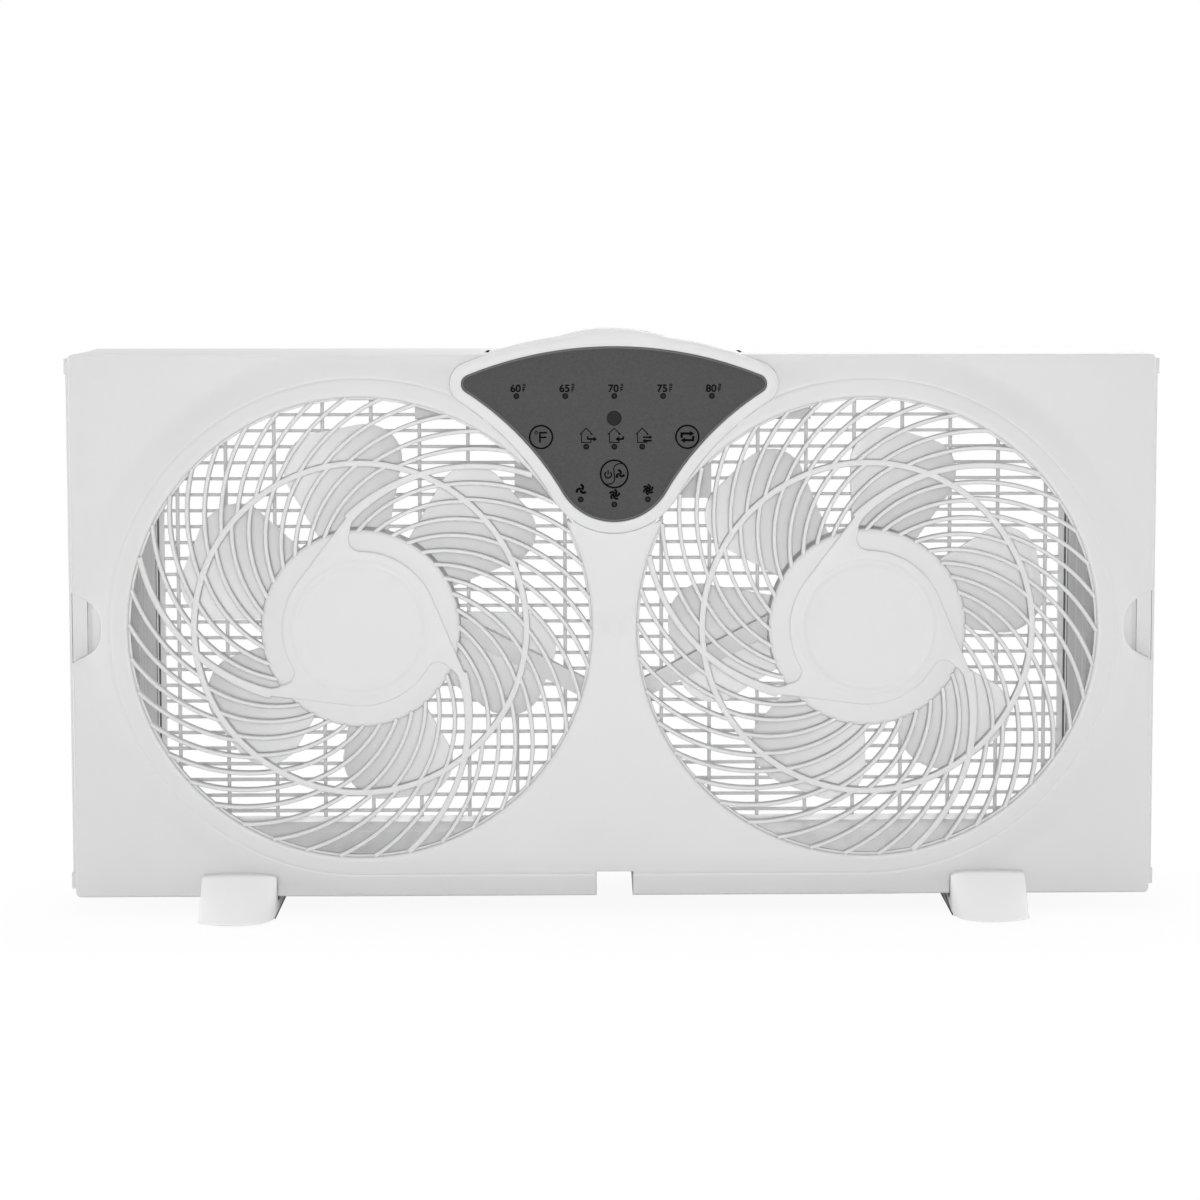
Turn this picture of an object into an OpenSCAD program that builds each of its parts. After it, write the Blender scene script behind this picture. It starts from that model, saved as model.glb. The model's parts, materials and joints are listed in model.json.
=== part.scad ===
// Twin window fan with a digital control head, two spiral guards and telescoping side panels.
// The fan stands on its two feet with its front towards -Y; X runs along its width and Z is up.

/* [Body] */
// Flat strip between each raised ring and the nearer side of the housing
side_strip = 21.5; // [20:0.5:40]
// Flat strip above and below the raised rings
edge_strip = 12.5; // [11:0.5:24]
// Depth from the flat face of the front cover to the back
body_d = 103; // [102:1:120]
// Wall thickness of the mouldings
wall = 2.5; // [2:0.1:2.8]
// Radius of the front cover's corners
corner_r = 3; // [1:0.5:8]
// Depth at which the front cover meets the rear housing
parting_d = 70; // [68:1:74]
// Width of the notch at the middle of the bottom edge
notch_w = 21; // [16:1:30]
// Height of the notch at the middle of the bottom edge
notch_h = 15; // [12:1:17]

/* [Fan openings] */
// Radius of each round opening in the front cover
opening_r = 133; // [124:0.5:142]
// Width of the bridge between the two openings
bridge_w = 26; // [24:1:40]
// Width of the raised ring round each opening
ring_w = 12; // [10:0.5:14]
// Height of the raised ring above the flat face
relief = 7; // [6:0.5:9]
// Width of the soft hollow that joins the ring to the flat face
cove_w = 12; // [8:0.5:12]

/* [Front guards] */
// Radius of the hub in the middle of a guard
hub_r = 57.3; // [55:0.1:60]
// Radius of the raised middle of the hub
plateau_r = 45; // [42:0.5:48]
// Radius of the dished cap in the middle of the hub
cap_r = 37.6; // [30:0.5:40]
// Radius of the round bar between the hub and the opening
bar_r = 95.4; // [85:0.5:105]
// Width of that round bar
bar_w = 4; // [3:0.5:5]
// Width of a fine spiral rib
rib_w = 3; // [2:0.1:3.6]
// Depth of the ribs from front to back
rib_d = 9; // [6:0.5:10]
// Number of thick arms
arm_count = 3; // [3:1:4]
// Width of a thick arm at the hub
arm_root_w = 6.8; // [5:0.1:8]
// Width of a thick arm at the opening
arm_tip_w = 3.5; // [3:0.1:5]
// Rib spaces from arm to arm inside the round bar
inner_spaces = 12; // [8:1:12]
// Rib spaces from arm to arm outside the round bar
outer_spaces = 14; // [10:1:14]
// Radius of the circle that the ribs inside the round bar follow
inner_sweep_r = 75; // [72:0.5:80]
// Distance from the fan's axis to the middle of that circle
inner_sweep_c = 57; // [52:0.5:62]
// Turn of these ribs about the fan's axis
inner_turn = 18.3; // [15:0.1:20]
// Radius of the circle that the arms, and the ribs outside the round bar, follow
outer_sweep_r = 103.5; // [98:0.5:108]
// Distance from the fan's axis to the middle of that circle
outer_sweep_c = 67; // [62:0.5:72]
// Turn of the arms and of these ribs about the fan's axis
outer_turn = -8.4; // [-12:0.1:-5]

/* [Fan blades] */
// Clear distance from the blade tips to the edge of the opening
blade_gap = 19.5; // [15:0.5:30]
// Number of blades
blade_count = 6; // [5:1:7]
// Pitch of the blades to the plane of the fan
blade_pitch = 24; // [20:1:26]
// Radius of the hollow curve across a blade
camber_r = 110; // [90:1:150]
// Thickness of a blade
blade_t = 1.8; // [1.4:0.1:2.5]
// Radius of the blades' hub
blade_hub_r = 44; // [42:0.5:46]
// Depth of the middle of the blades behind the flat face
blade_depth = 64; // [62:0.5:66]

/* [Motors] */
// Radius of a motor's case
motor_r = 41; // [38:0.5:44]
// Length of a motor's case
motor_l = 44; // [42:0.5:46]
// Radius of the motor shaft
shaft_r = 4; // [3:0.5:5]
// Running clearance of the shaft in its bearings
shaft_play = 0.03; // [0.02:0.01:0.08]
// Outer radius of a shaft bearing
bearing_r = 8; // [7:0.5:9]

/* [Rear grille] */
// Spacing of the level bars
level_pitch = 9.77; // [8:0.01:12]
// Spacing of the upright bars
upright_pitch = 29.5; // [24:0.1:34]
// Thickness of the level bars
level_t = 1.9; // [1.5:0.1:2.5]
// Width of the upright bars
upright_w = 2.2; // [1.8:0.1:3]
// Depth of the bars from front to back
bar_d = 5; // [4:0.5:8]

/* [Side panels] */
// Width of each telescoping panel box
panel_w = 35; // [30:0.5:35]
// Wall of the panel boxes
panel_wall = 2; // [1.6:0.1:2.4]
// Height of the finger notch in the front cover
finger_h = 40; // [30:1:50]
// Depth of the finger notch from the cover's side
finger_d = 17; // [14:0.5:20]

/* [Control head] */
// Radius of the arched top of the dark panel
head_top_r = 222.8; // [200:1:240]
// What the dark panel stands up above the housing
head_rise = 4.9; // [3:0.1:8]
// Height of the dark panel
head_h = 100.6; // [96:0.1:104]
// What the radius of the panel's hollow sides is more than the opening and the rim
head_side_extra = 30.8; // [29:0.1:32]
// Width of the white rim round the dark panel
rim_w = 7; // [6:0.1:7]
// Height of the rim above the flat face
rim_h = 11; // [10:0.5:13]
// Travel of the buttons
button_travel = 0.5; // [0.3:0.1:0.6]
// Radius of the power button
power_r = 8.2; // [7:0.1:9]
// Radius of the temperature and direction buttons
side_button_r = 6.9; // [6:0.1:7.5]

/* [Feet] */
// Width of a foot
foot_w = 43; // [36:1:50]
// Distance from the housing's side to the middle of each foot
foot_inset = 95.5; // [80:0.5:120]
// Height of the housing's bottom above the ground
foot_h = 10; // [8:0.5:14]
// Reach of a foot in front of the flat face
foot_reach = 34; // [28:1:40]
// Height of the foot's lip above the housing's bottom
foot_lip = 14.5; // [10:0.5:15]

/* [Hidden] */
$fn = 96;

LEFT = -1;
RIGHT = 1;
eps = 0.01;
fit = 0.3;             // free space between pieces that slide or lie beside each other
fan_x = opening_r + bridge_w / 2;          // distance from the middle to each fan's axis
ring_r = opening_r + ring_w;
half_w = fan_x + ring_r + side_strip;
half_h = ring_r + edge_strip;
body_w = 2 * half_w;
body_h = 2 * half_h;
foot_x = half_w - foot_inset;
blade_r = opening_r - blade_gap;
face_y = relief - (body_d + relief) / 2;   // the flat face, so that ring and back are equally far out
axis_z = foot_h + half_h;                  // height of both fan axes above the ground

// The duct behind the openings, and the pockets beside it
duct_half_w = half_w - panel_w - 1 - wall;
duct_half_h = opening_r + 1;
grille_half_h = opening_r - 2.4;
pocket_front = 12;     // depth of the front of the side pockets
skin_z = relief - wall;

// Guard
rib_front = relief - 1;
rib_back = rib_front - rib_d;
guard_ring_r = opening_r - 0.2;
guard_ring_w = 3.2;
proud = 0.3;           // what the round bars stand out from the ribs in front and behind
flange_w = 6;
flange_t = 3;
recess_d = 1.8;
head_r = 6.5;          // rounded head of each recess in the hub
taper_lead = 44;       // turn from each arm's root to where the recess beside it is full width
head_lag = 9;          // turn from each arm's root back to the head of the recess before it
hub_wall_d = 12;
hub_plate_z = relief - recess_d - wall;

// Motor and blades, as depths behind the flat face
motor_front = -hub_plate_z;
motor_back = motor_front + motor_l;
case_t = 1.5;
case_split = motor_front + motor_l / 2;
stack_l = 16;
rotor_r = 23.5;
air_gap = 0.5;
slot_w = 9;            // slot in the stator, and the coil that fills it
slot_h = 8;
winding_l = 7;
winding_round = 2.5;
winding_mid_r = rotor_r + air_gap + slot_w / 2 + 2;
shaft_front = motor_front + case_t + 2;
bearing_l = 6;
blade_hub_front = motor_back + 5;
blade_hub_back = blade_depth + 15;
nut_l = 9;
shaft_back = blade_hub_back + nut_l - 3;

// Control head
panel_t = 1.2;
panel_z = rim_h - 2;           // back of the dark panel
backing_t = 2.5;
head_d = 32;                   // depth of the control housing behind the flat face
head_top = half_h + head_rise; // height of the dark panel's top above the fans' axes
head_bottom = head_top - head_h;
head_side_r = opening_r + rim_w + head_side_extra;
head_side_x = fan_x + 31.3;
head_side_y = -7.3;
tip_r = 5.5;
board_t = 1.6;
board_z = -8;
light_r = 1.2;
temperature_pitch = 27.9;
temperature_y = head_top - 28.4;
mode_y = head_top - 57.4;
mode_pitch = 16;
speed_pitch = 19.2;
speed_y = head_top - 87.6;
speed_drop = 2.9;              // the middle light lies this much lower than its neighbours
power_at = [0, head_top - 73];
key_x = 41.8;
temperature_at = [-key_x, head_top - 51.8];
direction_at = [key_x, head_top - 51.8];
window_at = [0, head_top - 41.1];
window_r = 4.3;
light_pts = concat(
    [for (i = [-2 : 2]) [i * temperature_pitch, temperature_y]],
    [for (i = [-1 : 1]) [i * mode_pitch, mode_y]],
    [for (i = [-1 : 1]) [i * speed_pitch, speed_y - (i == 0 ? speed_drop : 0)]]);
board_screw_y = head_top - 34.4;
board_screw_x = head_side_x - sqrt(pow(head_side_r, 2) - pow(board_screw_y - head_side_y, 2)) - 11;
board_screw_pts = [[-board_screw_x, board_screw_y], [board_screw_x, board_screw_y], [0, head_top - 63.4]];
capacitor_w = 26;
capacitor_h = 12;
capacitor_d = 14;
capacitor_x = 24;
capacitor_y = head_top - 50.4;

// Terminal box at the back, behind the control head
box_half_w = 120;
box_stem_w = 59;
box_shoulder = grille_half_h - 15.6;
box_bottom = grille_half_h - 63.6;
box_d = 12;
bush_at = [0, box_shoulder - 5];
bush_r = 5;
bush_bore_r = 3.2;

// Screws that hold the two halves of the housing together
screw_r = 1.75;
screw_head_r = 3.4;
screw_head_l = 2.5;
screw_l = 20;
screw_seat = 6;        // depth of the rear housing's screw bosses before the heads
boss_r = 4.5;
screw_bite = 2.2;      // depth of the motor screws in the hub
motor_screw_pts = [for (a = [45 : 90 : 315]) polar(motor_r - 7, a)];
screw_pts = [for (x = [fan_x - 11, fan_x + 104], y = [-1, 1], s = [-1, 1]) [s * x, y * (half_h - wall - 8)]];

white = [0.93, 0.93, 0.93];
shade = [0.86, 0.86, 0.87];

// ---- frames -------------------------------------------------------------------------------

// Drawing frame on the flat face: x to the right, y up from the fans' axes, z towards the room
module on_face() {
    translate([0, face_y, axis_z]) rotate([90, 0, 0]) children();
}

module on_fan(side) {
    on_face() translate([side * fan_x, 0, 0]) children();
}

// Flat piece between two depths behind the flat face
module between(front, back) {
    translate([0, 0, -back]) linear_extrude(back - front) children();
}

module ring_2d(outer, inner) {
    difference() {
        circle(outer);
        circle(inner);
    }
}

module tube(outer, inner, front, back) {
    between(front, back) ring_2d(outer, inner);
}

module centred(w, h) {
    square([w, h], center = true);
}

module rounded_rect(w, h, r) {
    centred(w - 2 * r, h);
    centred(w, h - 2 * r);
    for (x = [-1, 1], y = [-1, 1])
        translate([x * (w / 2 - r), y * (h / 2 - r)]) circle(r);
}

function polar(r, a) = [r * cos(a), r * sin(a)];

module wedge_2d(a, b, r) {
    polygon([[0, 0], polar(r, a), polar(r * 1.4, (a + b) / 2), polar(r, b)]);
}

// ---- front cover --------------------------------------------------------------------------

// Raised outline: both rings, the web below and between them
module relief_2d(r) {
    shrink = ring_r - r;
    for (s = [-1, 1]) translate([s * fan_x, 0]) circle(r);
    translate([-fan_x, -r]) square([2 * fan_x, r]);
    translate([-60 + shrink, -1]) square([120 - 2 * shrink, 105 - shrink]);
}

// Hollow curve between the raised outline and the flat face
module cove_2d() {
    r = (cove_w * cove_w + relief * relief) / (2 * relief);
    difference() {
        translate([-eps, -eps]) square([cove_w + eps, relief]);
        translate([cove_w, r]) circle(r);
    }
}

module relief_coves() {
    for (s = [-1, 1]) translate([s * fan_x, 0, 0])
        rotate_extrude() translate([ring_r, 0]) cove_2d();
    translate([-fan_x, -ring_r, 0]) rotate([90, 0, 90])
        linear_extrude(2 * fan_x) mirror([1, 0]) cove_2d();
}

// Dark panel's outline: arched top, hollow sides, and round bottom and tips that run into them
head_top_c = [0, head_top - head_top_r];
head_side_c = [head_side_x, head_side_y];
head_bottom_r = (pow(head_side_x, 2) + pow(head_bottom - head_side_y, 2) - pow(head_side_r, 2))
    / (2 * (head_side_r - head_bottom + head_side_y));
head_bottom_c = [0, head_bottom + head_bottom_r];
head_tip_c = circles_meet(head_top_c, head_top_r - tip_r, head_side_c, head_side_r + tip_r);

function unit(v) = v / norm(v);

// The upper point where two circles meet
function circles_meet(c1, r1, c2, r2) =
    let (
        d = norm(c2 - c1),
        along = (d * d + r1 * r1 - r2 * r2) / (2 * d),
        across = sqrt(r1 * r1 - along * along),
        u = unit(c2 - c1)
    )
    c1 + along * u + across * [-u[1], u[0]];

module head_2d(grow = 0) {
    r = tip_r + grow;
    low = head_bottom_c + (head_bottom_r + grow - 0.5) * unit(head_side_c - head_bottom_c);
    side = head_tip_c + r * unit(head_side_c - head_tip_c);
    top = head_tip_c + r * unit(head_tip_c - head_top_c);
    right = [low, side, top, [top[0], head_top + 20]];
    difference() {
        union() {
            intersection() {
                translate(head_top_c) circle(head_top_r + grow);
                polygon(concat(right, [for (i = [len(right) - 1 : -1 : 0]) [-right[i][0], right[i][1]]]));
            }
            translate(head_bottom_c + [0, 0.1]) circle(head_bottom_r + grow + 0.1);
        }
        for (s = [-1, 1]) translate([s * head_side_c[0], head_side_c[1]])
            circle(head_side_r - grow);
    }
    for (s = [-1, 1]) translate([s * head_tip_c[0], head_tip_c[1]]) circle(r);
}

// The rim round the dark panel, with its low hump on top
module head_outline_2d(grow = 0) {
    hump_r = 100;
    hump_h = 2.9;
    head_2d(rim_w + grow);
    intersection() {
        translate([0, head_top + rim_w + hump_h - hump_r]) circle(hump_r + grow);
        translate([-hump_r / 2, head_top - hump_r / 5]) square([hump_r, hump_r / 2]);
    }
}

module finger_notch_2d() {
    flare = 5;
    translate([half_w - finger_d + finger_h / 3, 0]) intersection() {
        circle(finger_h / 3 + flare);
        translate([-finger_h / 3, -finger_h / 2]) square([finger_h, finger_h]);
    }
    translate([half_w - finger_d + finger_h / 3, -finger_h / 2]) square([finger_d, finger_h]);
}

module side_notches() {
    for (s = [0, 1]) mirror([s, 0]) finger_notch_2d();
}

module bottom_notch_2d(grow = 0) {
    translate([-notch_w / 2 - grow, -half_h - 1])
        square([notch_w + 2 * grow, notch_h + 1 + grow]);
}

// Walls along the top and bottom, the duct and the bottom notch, as seen from the front
module housing_walls_2d() {
    difference() {
        union() {
            for (y = [-1, 1]) translate([0, y * (half_h - wall / 2)]) centred(body_w, wall);
            difference() {
                centred(2 * (duct_half_w + wall), 2 * (half_h - wall));
                centred(2 * duct_half_w, 2 * (half_h - wall) + 1);
            }
            for (y = [-1, 1]) translate([0, y * (duct_half_h + wall / 2)])
                centred(2 * duct_half_w, wall);
            intersection() {
                bottom_notch_2d(wall);
                centred(body_w, body_h);
            }
        }
        bottom_notch_2d();
    }
}

module front_cover() {
    color(white) on_face() difference() {
        union() {
            difference() {
                union() {
                    between(0, wall) rounded_rect(body_w, body_h, corner_r);
                    between(-relief, wall) relief_2d(ring_r);
                    relief_coves();
                }
                between(-skin_z, wall + 1) intersection() {
                    relief_2d(ring_r - wall);
                    centred(body_w - 20, body_h - 2 * wall);
                }
            }
            between(wall - eps, parting_d) housing_walls_2d();
            for (p = screw_pts) translate(p) between(wall - eps, parting_d) circle(boss_r);
            for (s = [-1, 1]) {
                translate([s * (half_w - wall / 2), 0]) between(wall - eps, pocket_front - fit)
                    centred(wall, body_h - 2 * wall);
                for (y = [-1, 1], k = [45, 100])
                    translate([s * (half_w - panel_w / 2 - 1), y * k])
                        between(wall - eps, pocket_front - fit) centred(panel_w, wall);
            }
        }
        for (s = [-1, 1]) translate([s * fan_x, 0])
            between(-relief - 1, wall + 3) circle(opening_r);
        between(-relief - 1, pocket_front) side_notches();
        between(-relief - 1, parting_d + 1) bottom_notch_2d();
        between(-relief - 1, head_d + fit) head_outline_2d(0.1);
        for (p = screw_pts) translate(p)
            between(parting_d + screw_seat - screw_l - 2, parting_d + 1) circle(screw_r);
    }
}

// ---- spiral guards ------------------------------------------------------------------------

// A circle's course is [its radius, its middle's distance from the fan's axis, its turn about that axis]
inner_course = [inner_sweep_r, inner_sweep_c, inner_turn];
outer_course = [outer_sweep_r, outer_sweep_c, outer_turn];

// Where a course crosses radius r, as an angle about the fan's axis and about its own
function sweep_angle(course, r) = acos((r * r + pow(course[1], 2) - pow(course[0], 2)) / (2 * r * course[1]));
function own_angle(course, r) =
    atan2(r * sin(sweep_angle(course, r)), r * cos(sweep_angle(course, r)) - course[1]);

module spiral_rib(course, from, to) {
    start = own_angle(course, to);
    rotate([0, 0, course[2]]) translate([course[1], 0, 0]) rotate([0, 0, start])
        rotate_extrude(angle = own_angle(course, from) - start)
            translate([course[0] - rib_w / 2, rib_back]) square([rib_w, rib_d]);
}

// The arms follow the outer ribs' course, and bend a little towards the axis where they reach the hub
arm_bend_r = hub_r + 8.7;
arm_steps = 16;
function arm_angle(r) =
    sweep_angle(outer_course, r) + outer_turn - 0.07 * pow(max(arm_bend_r - r, 0), 2);
function arm_mid(r) = polar(r, arm_angle(r));
function arm_dir(r) = unit(arm_mid(r + 0.5) - arm_mid(r - 0.5));
function arm_w(r) =
    let (run = min(max((r - hub_r) / (opening_r - 18 - hub_r), 0), 1))
    arm_tip_w + (arm_root_w - arm_tip_w) * pow(1 - run, 2);
function arm_side(r, s) = arm_mid(r) + s * arm_w(r) / 2 * [arm_dir(r)[1], -arm_dir(r)[0]];

module spiral_arm_2d() {
    step = (guard_ring_r - 1 - hub_r + 3) / arm_steps;
    radii = [for (i = [0 : arm_steps]) hub_r - 3 + i * step];
    polygon(concat(
        [for (i = [0 : arm_steps]) arm_side(radii[i], 1)],
        [for (i = [arm_steps : -1 : 0]) arm_side(radii[i], -1)]));
}

// One comma-shaped recess in the hub's rim: from the arm's own edge, round to the next arm
module hub_recess_2d() {
    full = arm_angle(hub_r) + taper_lead;
    head = arm_angle(hub_r) - head_lag + 360 / arm_count;
    start = full - acos(plateau_r / (hub_r + 3));
    intersection() {
        ring_2d(hub_r + 1, plateau_r);
        union() {
            wedge_2d(full - 0.5, head, 1.4 * hub_r);
            difference() {
                wedge_2d(start, full + 0.5, 1.4 * hub_r);
                rotate(full) translate([-2, -2] * hub_r) square([2 * hub_r + plateau_r - 0.1, 2 * hub_r + 0.5]);
            }
        }
    }
    translate(polar(plateau_r + head_r, head)) circle(head_r);
}

module guard_hub() {
    difference() {
        between(-relief, -hub_plate_z) circle(hub_r);
        between(-relief - 1, recess_d - relief) for (i = [0 : arm_count - 1])
            rotate(i * 360 / arm_count) hub_recess_2d();
        between(-relief - 1, 0.6 - relief) circle(cap_r - 1);
    }
    translate([0, 0, relief]) rotate_extrude() translate([cap_r - 0.6, 0]) circle(0.8);
    tube(hub_r, hub_r - wall, -hub_plate_z - 1, hub_wall_d);
}

module front_guard(side) {
    color(white) difference() {
        on_fan(side) {
            for (a = [0 : arm_count - 1]) rotate([0, 0, a * 360 / arm_count]) {
                for (i = [1 : inner_spaces - 1])
                    rotate([0, 0, i * 360 / arm_count / inner_spaces])
                        spiral_rib(inner_course, hub_r - 1, bar_r);
                for (i = [1 : outer_spaces - 1])
                    rotate([0, 0, i * 360 / arm_count / outer_spaces])
                        spiral_rib(outer_course, bar_r, guard_ring_r - 1);
                translate([0, 0, rib_back]) linear_extrude(rib_d + 0.5) spiral_arm_2d();
            }
            guard_hub();
            tube(bar_r + bar_w / 2, bar_r - bar_w / 2, -rib_front - proud, proud - rib_back);
            tube(guard_ring_r, guard_ring_r - guard_ring_w, -rib_front - proud, proud - rib_back);
            tube(guard_ring_r + flange_w, guard_ring_r - 1, -skin_z, flange_t - skin_z);
        }
        on_face() between(-skin_z - 1, flange_t) head_outline_2d(0.4);
        on_fan(side) for (p = motor_screw_pts) translate(p)
            between(motor_front - screw_bite, motor_front + 1) circle(screw_r);
    }
}

// ---- wire ways ----------------------------------------------------------------------------

conduit_w = 10.5;
conduit_front = proud + fit - rib_back;
conduit_back = conduit_front + 7.5;
duct_w = 20;
duct_low = -56;
conduit_end = [fan_x - duct_w / 2, -40];

// Level run from the hub to the duct in the middle column, seen from the left fan's axis
module conduit_2d(w) {
    start = [hub_r - 6, 3];
    run = conduit_end - start;
    difference() {
        translate(start) rotate(atan2(run[1], run[0]))
            translate([0, -w / 2]) square([norm(run) + w, w]);
        translate([conduit_end[0], -fan_x]) square([fan_x, 2 * fan_x]);
    }
}

module wire_conduit(side) {
    color(white) on_face() mirror([side > 0 ? 1 : 0, 0, 0]) translate([-fan_x, 0, 0])
        difference() {
            between(conduit_front, conduit_back) conduit_2d(conduit_w);
            between(conduit_front + 1.5, conduit_back + 1) conduit_2d(conduit_w - 3);
            between(0, hub_wall_d + fit) circle(hub_r);
            between(hub_wall_d, conduit_back + 10) circle(motor_r + fit);
        }
}

module centre_wire_duct() {
    color(white) on_face() difference() {
        translate([0, (duct_low + head_bottom - rim_w) / 2]) between(conduit_front, conduit_back)
            centred(duct_w, head_bottom - rim_w - duct_low - 2 * fit);
        translate([0, (duct_low + head_bottom - rim_w) / 2])
            between(conduit_front + 1.5, conduit_back + 1)
                centred(duct_w - 3, head_bottom - rim_w - duct_low + 1);
    }
}

// ---- control head -------------------------------------------------------------------------

module control_bezel() {
    color(white) on_face() difference() {
        between(-rim_h, 0) head_outline_2d();
        between(-rim_h - 1, -panel_z) head_2d();
        between(-panel_z + backing_t, 1) head_2d(rim_w - wall);
        for (p = light_pts) translate(p) between(-rim_h, 0) circle(light_r + 0.1);
        translate(power_at) between(-rim_h, 0) circle(power_r - 2);
        for (p = [temperature_at, direction_at])
            translate(p) between(-rim_h, 0) circle(side_button_r - 2);
        translate(window_at) between(-rim_h, 0) circle(window_r - 1);
    }
}

module control_panel() {
    color([0.33, 0.33, 0.33]) on_face() difference() {
        between(-panel_z - panel_t, -panel_z) head_2d(-0.1);
        for (p = light_pts) translate(p) between(-rim_h, 0) circle(light_r + 0.1);
        translate(power_at) between(-rim_h, 0) circle(power_r + 0.2);
        for (p = [temperature_at, direction_at])
            translate(p) between(-rim_h, 0) circle(side_button_r + 0.2);
        translate(window_at) between(-rim_h, 0) circle(window_r);
    }
}

switch_top = board_z + board_t + 5;

module button(at, r) {
    color([0.33, 0.33, 0.33]) on_face() translate(at) {
        between(-panel_z - panel_t, -panel_z - button_travel - 0.1) circle(r);
        between(-panel_z - panel_t + eps, -switch_top - button_travel - 0.1) circle(r - 2.3);
    }
}

module power_button() {
    button(power_at, power_r);
}

module temperature_button() {
    button(temperature_at, side_button_r);
}

module direction_button() {
    button(direction_at, side_button_r);
}

module receiver_window() {
    color([0.12, 0.1, 0.12]) on_face() translate(window_at) {
        between(-panel_z - panel_t, -panel_z) circle(window_r);
        between(-panel_z - eps, -board_z - board_t) circle(window_r - 1.2);
    }
}

module indicator_lights() {
    color([0.2, 0.2, 0.2]) on_face() for (p = light_pts) translate(p)
        between(-panel_z - panel_t, -board_z - board_t) circle(light_r);
}

module control_board() {
    color([0.1, 0.4, 0.2]) on_face() difference() {
        between(-board_z - board_t, -board_z) head_2d(-2);
        for (p = board_screw_pts) translate(p)
            between(-board_z - board_t - 1, -board_z + 1) circle(screw_r + 0.1);
    }
}

module button_switches() {
    color([0.15, 0.15, 0.15]) on_face() for (p = [power_at, temperature_at, direction_at])
        translate(p) {
            between(-switch_top + 1, -board_z - board_t) centred(6, 6);
            between(-switch_top, -switch_top + 1 + eps) circle(1.7);
        }
}

module board_screws() {
    color("silver") on_face() for (p = board_screw_pts) translate(p) {
        between(-board_z - board_t - 1.8, -board_z - board_t) circle(screw_head_r - 0.4);
        between(-board_z - board_t - eps, -board_z + 7) circle(screw_r);
    }
}

module control_housing() {
    color(white) on_face() difference() {
        union() {
            difference() {
                between(0, head_d) head_outline_2d();
                between(-1, head_d - wall) head_2d(rim_w - wall);
            }
            for (p = board_screw_pts) translate(p) between(-board_z, head_d - 1) circle(4);
        }
        for (p = board_screw_pts) translate(p) between(-board_z - 1, -board_z + 8) circle(screw_r);
        for (s = [-1, 1]) translate([s * fan_x, 0, 0]) between(-1, wall + 3) circle(opening_r + 1);
        translate([0, head_bottom - rim_w + wall]) between(conduit_front + 1, conduit_back - 1)
            centred(duct_w - 6, 12);
    }
}

module start_capacitors() {
    color([0.75, 0.72, 0.3]) on_face() for (s = [-1, 1]) translate([s * capacitor_x, capacitor_y])
        between(head_d - wall - capacitor_d, head_d - wall) centred(capacitor_w, capacitor_h);
}

// ---- motors -------------------------------------------------------------------------------

module motor_front_case(side) {
    color([0.72, 0.73, 0.75]) on_fan(side) difference() {
        union() {
            tube(motor_r, motor_r - case_t, motor_front, case_split);
            tube(motor_r - case_t + eps, bearing_r, motor_front, motor_front + case_t);
            tube(bearing_r + 3, bearing_r, motor_front, shaft_front + bearing_l);
        }
        for (p = motor_screw_pts) translate(p)
            between(motor_front - 1, motor_front + case_t + 1) circle(screw_r);
    }
}

module motor_rear_case(side) {
    color([0.72, 0.73, 0.75]) on_fan(side) difference() {
        union() {
            tube(motor_r, motor_r - case_t, case_split, motor_back);
            tube(motor_r - case_t + eps, bearing_r, motor_back - case_t, motor_back);
            tube(bearing_r + 3, bearing_r, motor_back - case_t - bearing_l, motor_back);
        }
        for (a = [0 : 30 : 330]) rotate([0, 0, a]) translate([27, 0])
            between(motor_back - case_t - 1, motor_back + 1) centred(10, 4);
    }
}

module stator(side) {
    color([0.45, 0.46, 0.48]) on_fan(side) difference() {
        tube(motor_r - case_t, rotor_r + air_gap, case_split - stack_l / 2, case_split + stack_l / 2);
        for (a = [30 : 60 : 330]) rotate([0, 0, a]) translate([winding_mid_r, 0])
            between(motor_front, motor_back) centred(slot_w, slot_h);
    }
}

module windings(side) {
    color([0.72, 0.4, 0.2]) on_fan(side) for (s = [-1, 1])
        translate([0, 0, -case_split - s * (stack_l + winding_l) / 2])
            rotate_extrude() translate([winding_mid_r, 0])
                rounded_rect(slot_w, winding_l, winding_round);
}

module rotor(side) {
    color([0.6, 0.6, 0.62]) on_fan(side)
        tube(rotor_r, shaft_r, case_split - stack_l / 2, case_split + stack_l / 2);
}

module shaft(side) {
    color("silver") on_fan(side) between(shaft_front, shaft_back) circle(shaft_r);
}

module bearings(side) {
    color([0.7, 0.55, 0.3]) on_fan(side)
        for (front = [shaft_front, motor_back - case_t - bearing_l])
            tube(bearing_r, shaft_r + shaft_play, front, front + bearing_l);
}

module motor_screws() {
    color("silver") for (side = [LEFT, RIGHT]) on_fan(side)
        for (p = motor_screw_pts) translate(p) {
            between(motor_front + case_t, motor_front + case_t + 2) circle(screw_head_r - 0.4);
            between(motor_front - screw_bite, motor_front + case_t + eps) circle(screw_r);
        }
}

// ---- fan blades ---------------------------------------------------------------------------

// Paddle seen along the axis: straight sides that spread from the hub to two round corners
module paddle_2d() {
    root_x = blade_hub_r - 6;
    root_half = 16;
    corner = 22;
    spread = 12;
    x = sqrt(pow(blade_r - corner, 2) - spread * spread);
    run = x - root_x;
    rise = spread + corner - root_half;
    tilt = atan2(rise, run) * 0.55;
    for (s = [-1, 1]) translate([x, s * spread]) circle(corner);
    polygon([
        [root_x, -root_half],
        [x - corner * sin(tilt), -spread - corner * cos(tilt)],
        [x + corner * cos(60), -spread - corner * sin(60)],
        [x + corner, -spread],
        [x + corner, spread],
        [x + corner * cos(60), spread + corner * sin(60)],
        [x - corner * sin(tilt), spread + corner * cos(tilt)],
        [root_x, root_half]
    ]);
}

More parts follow.
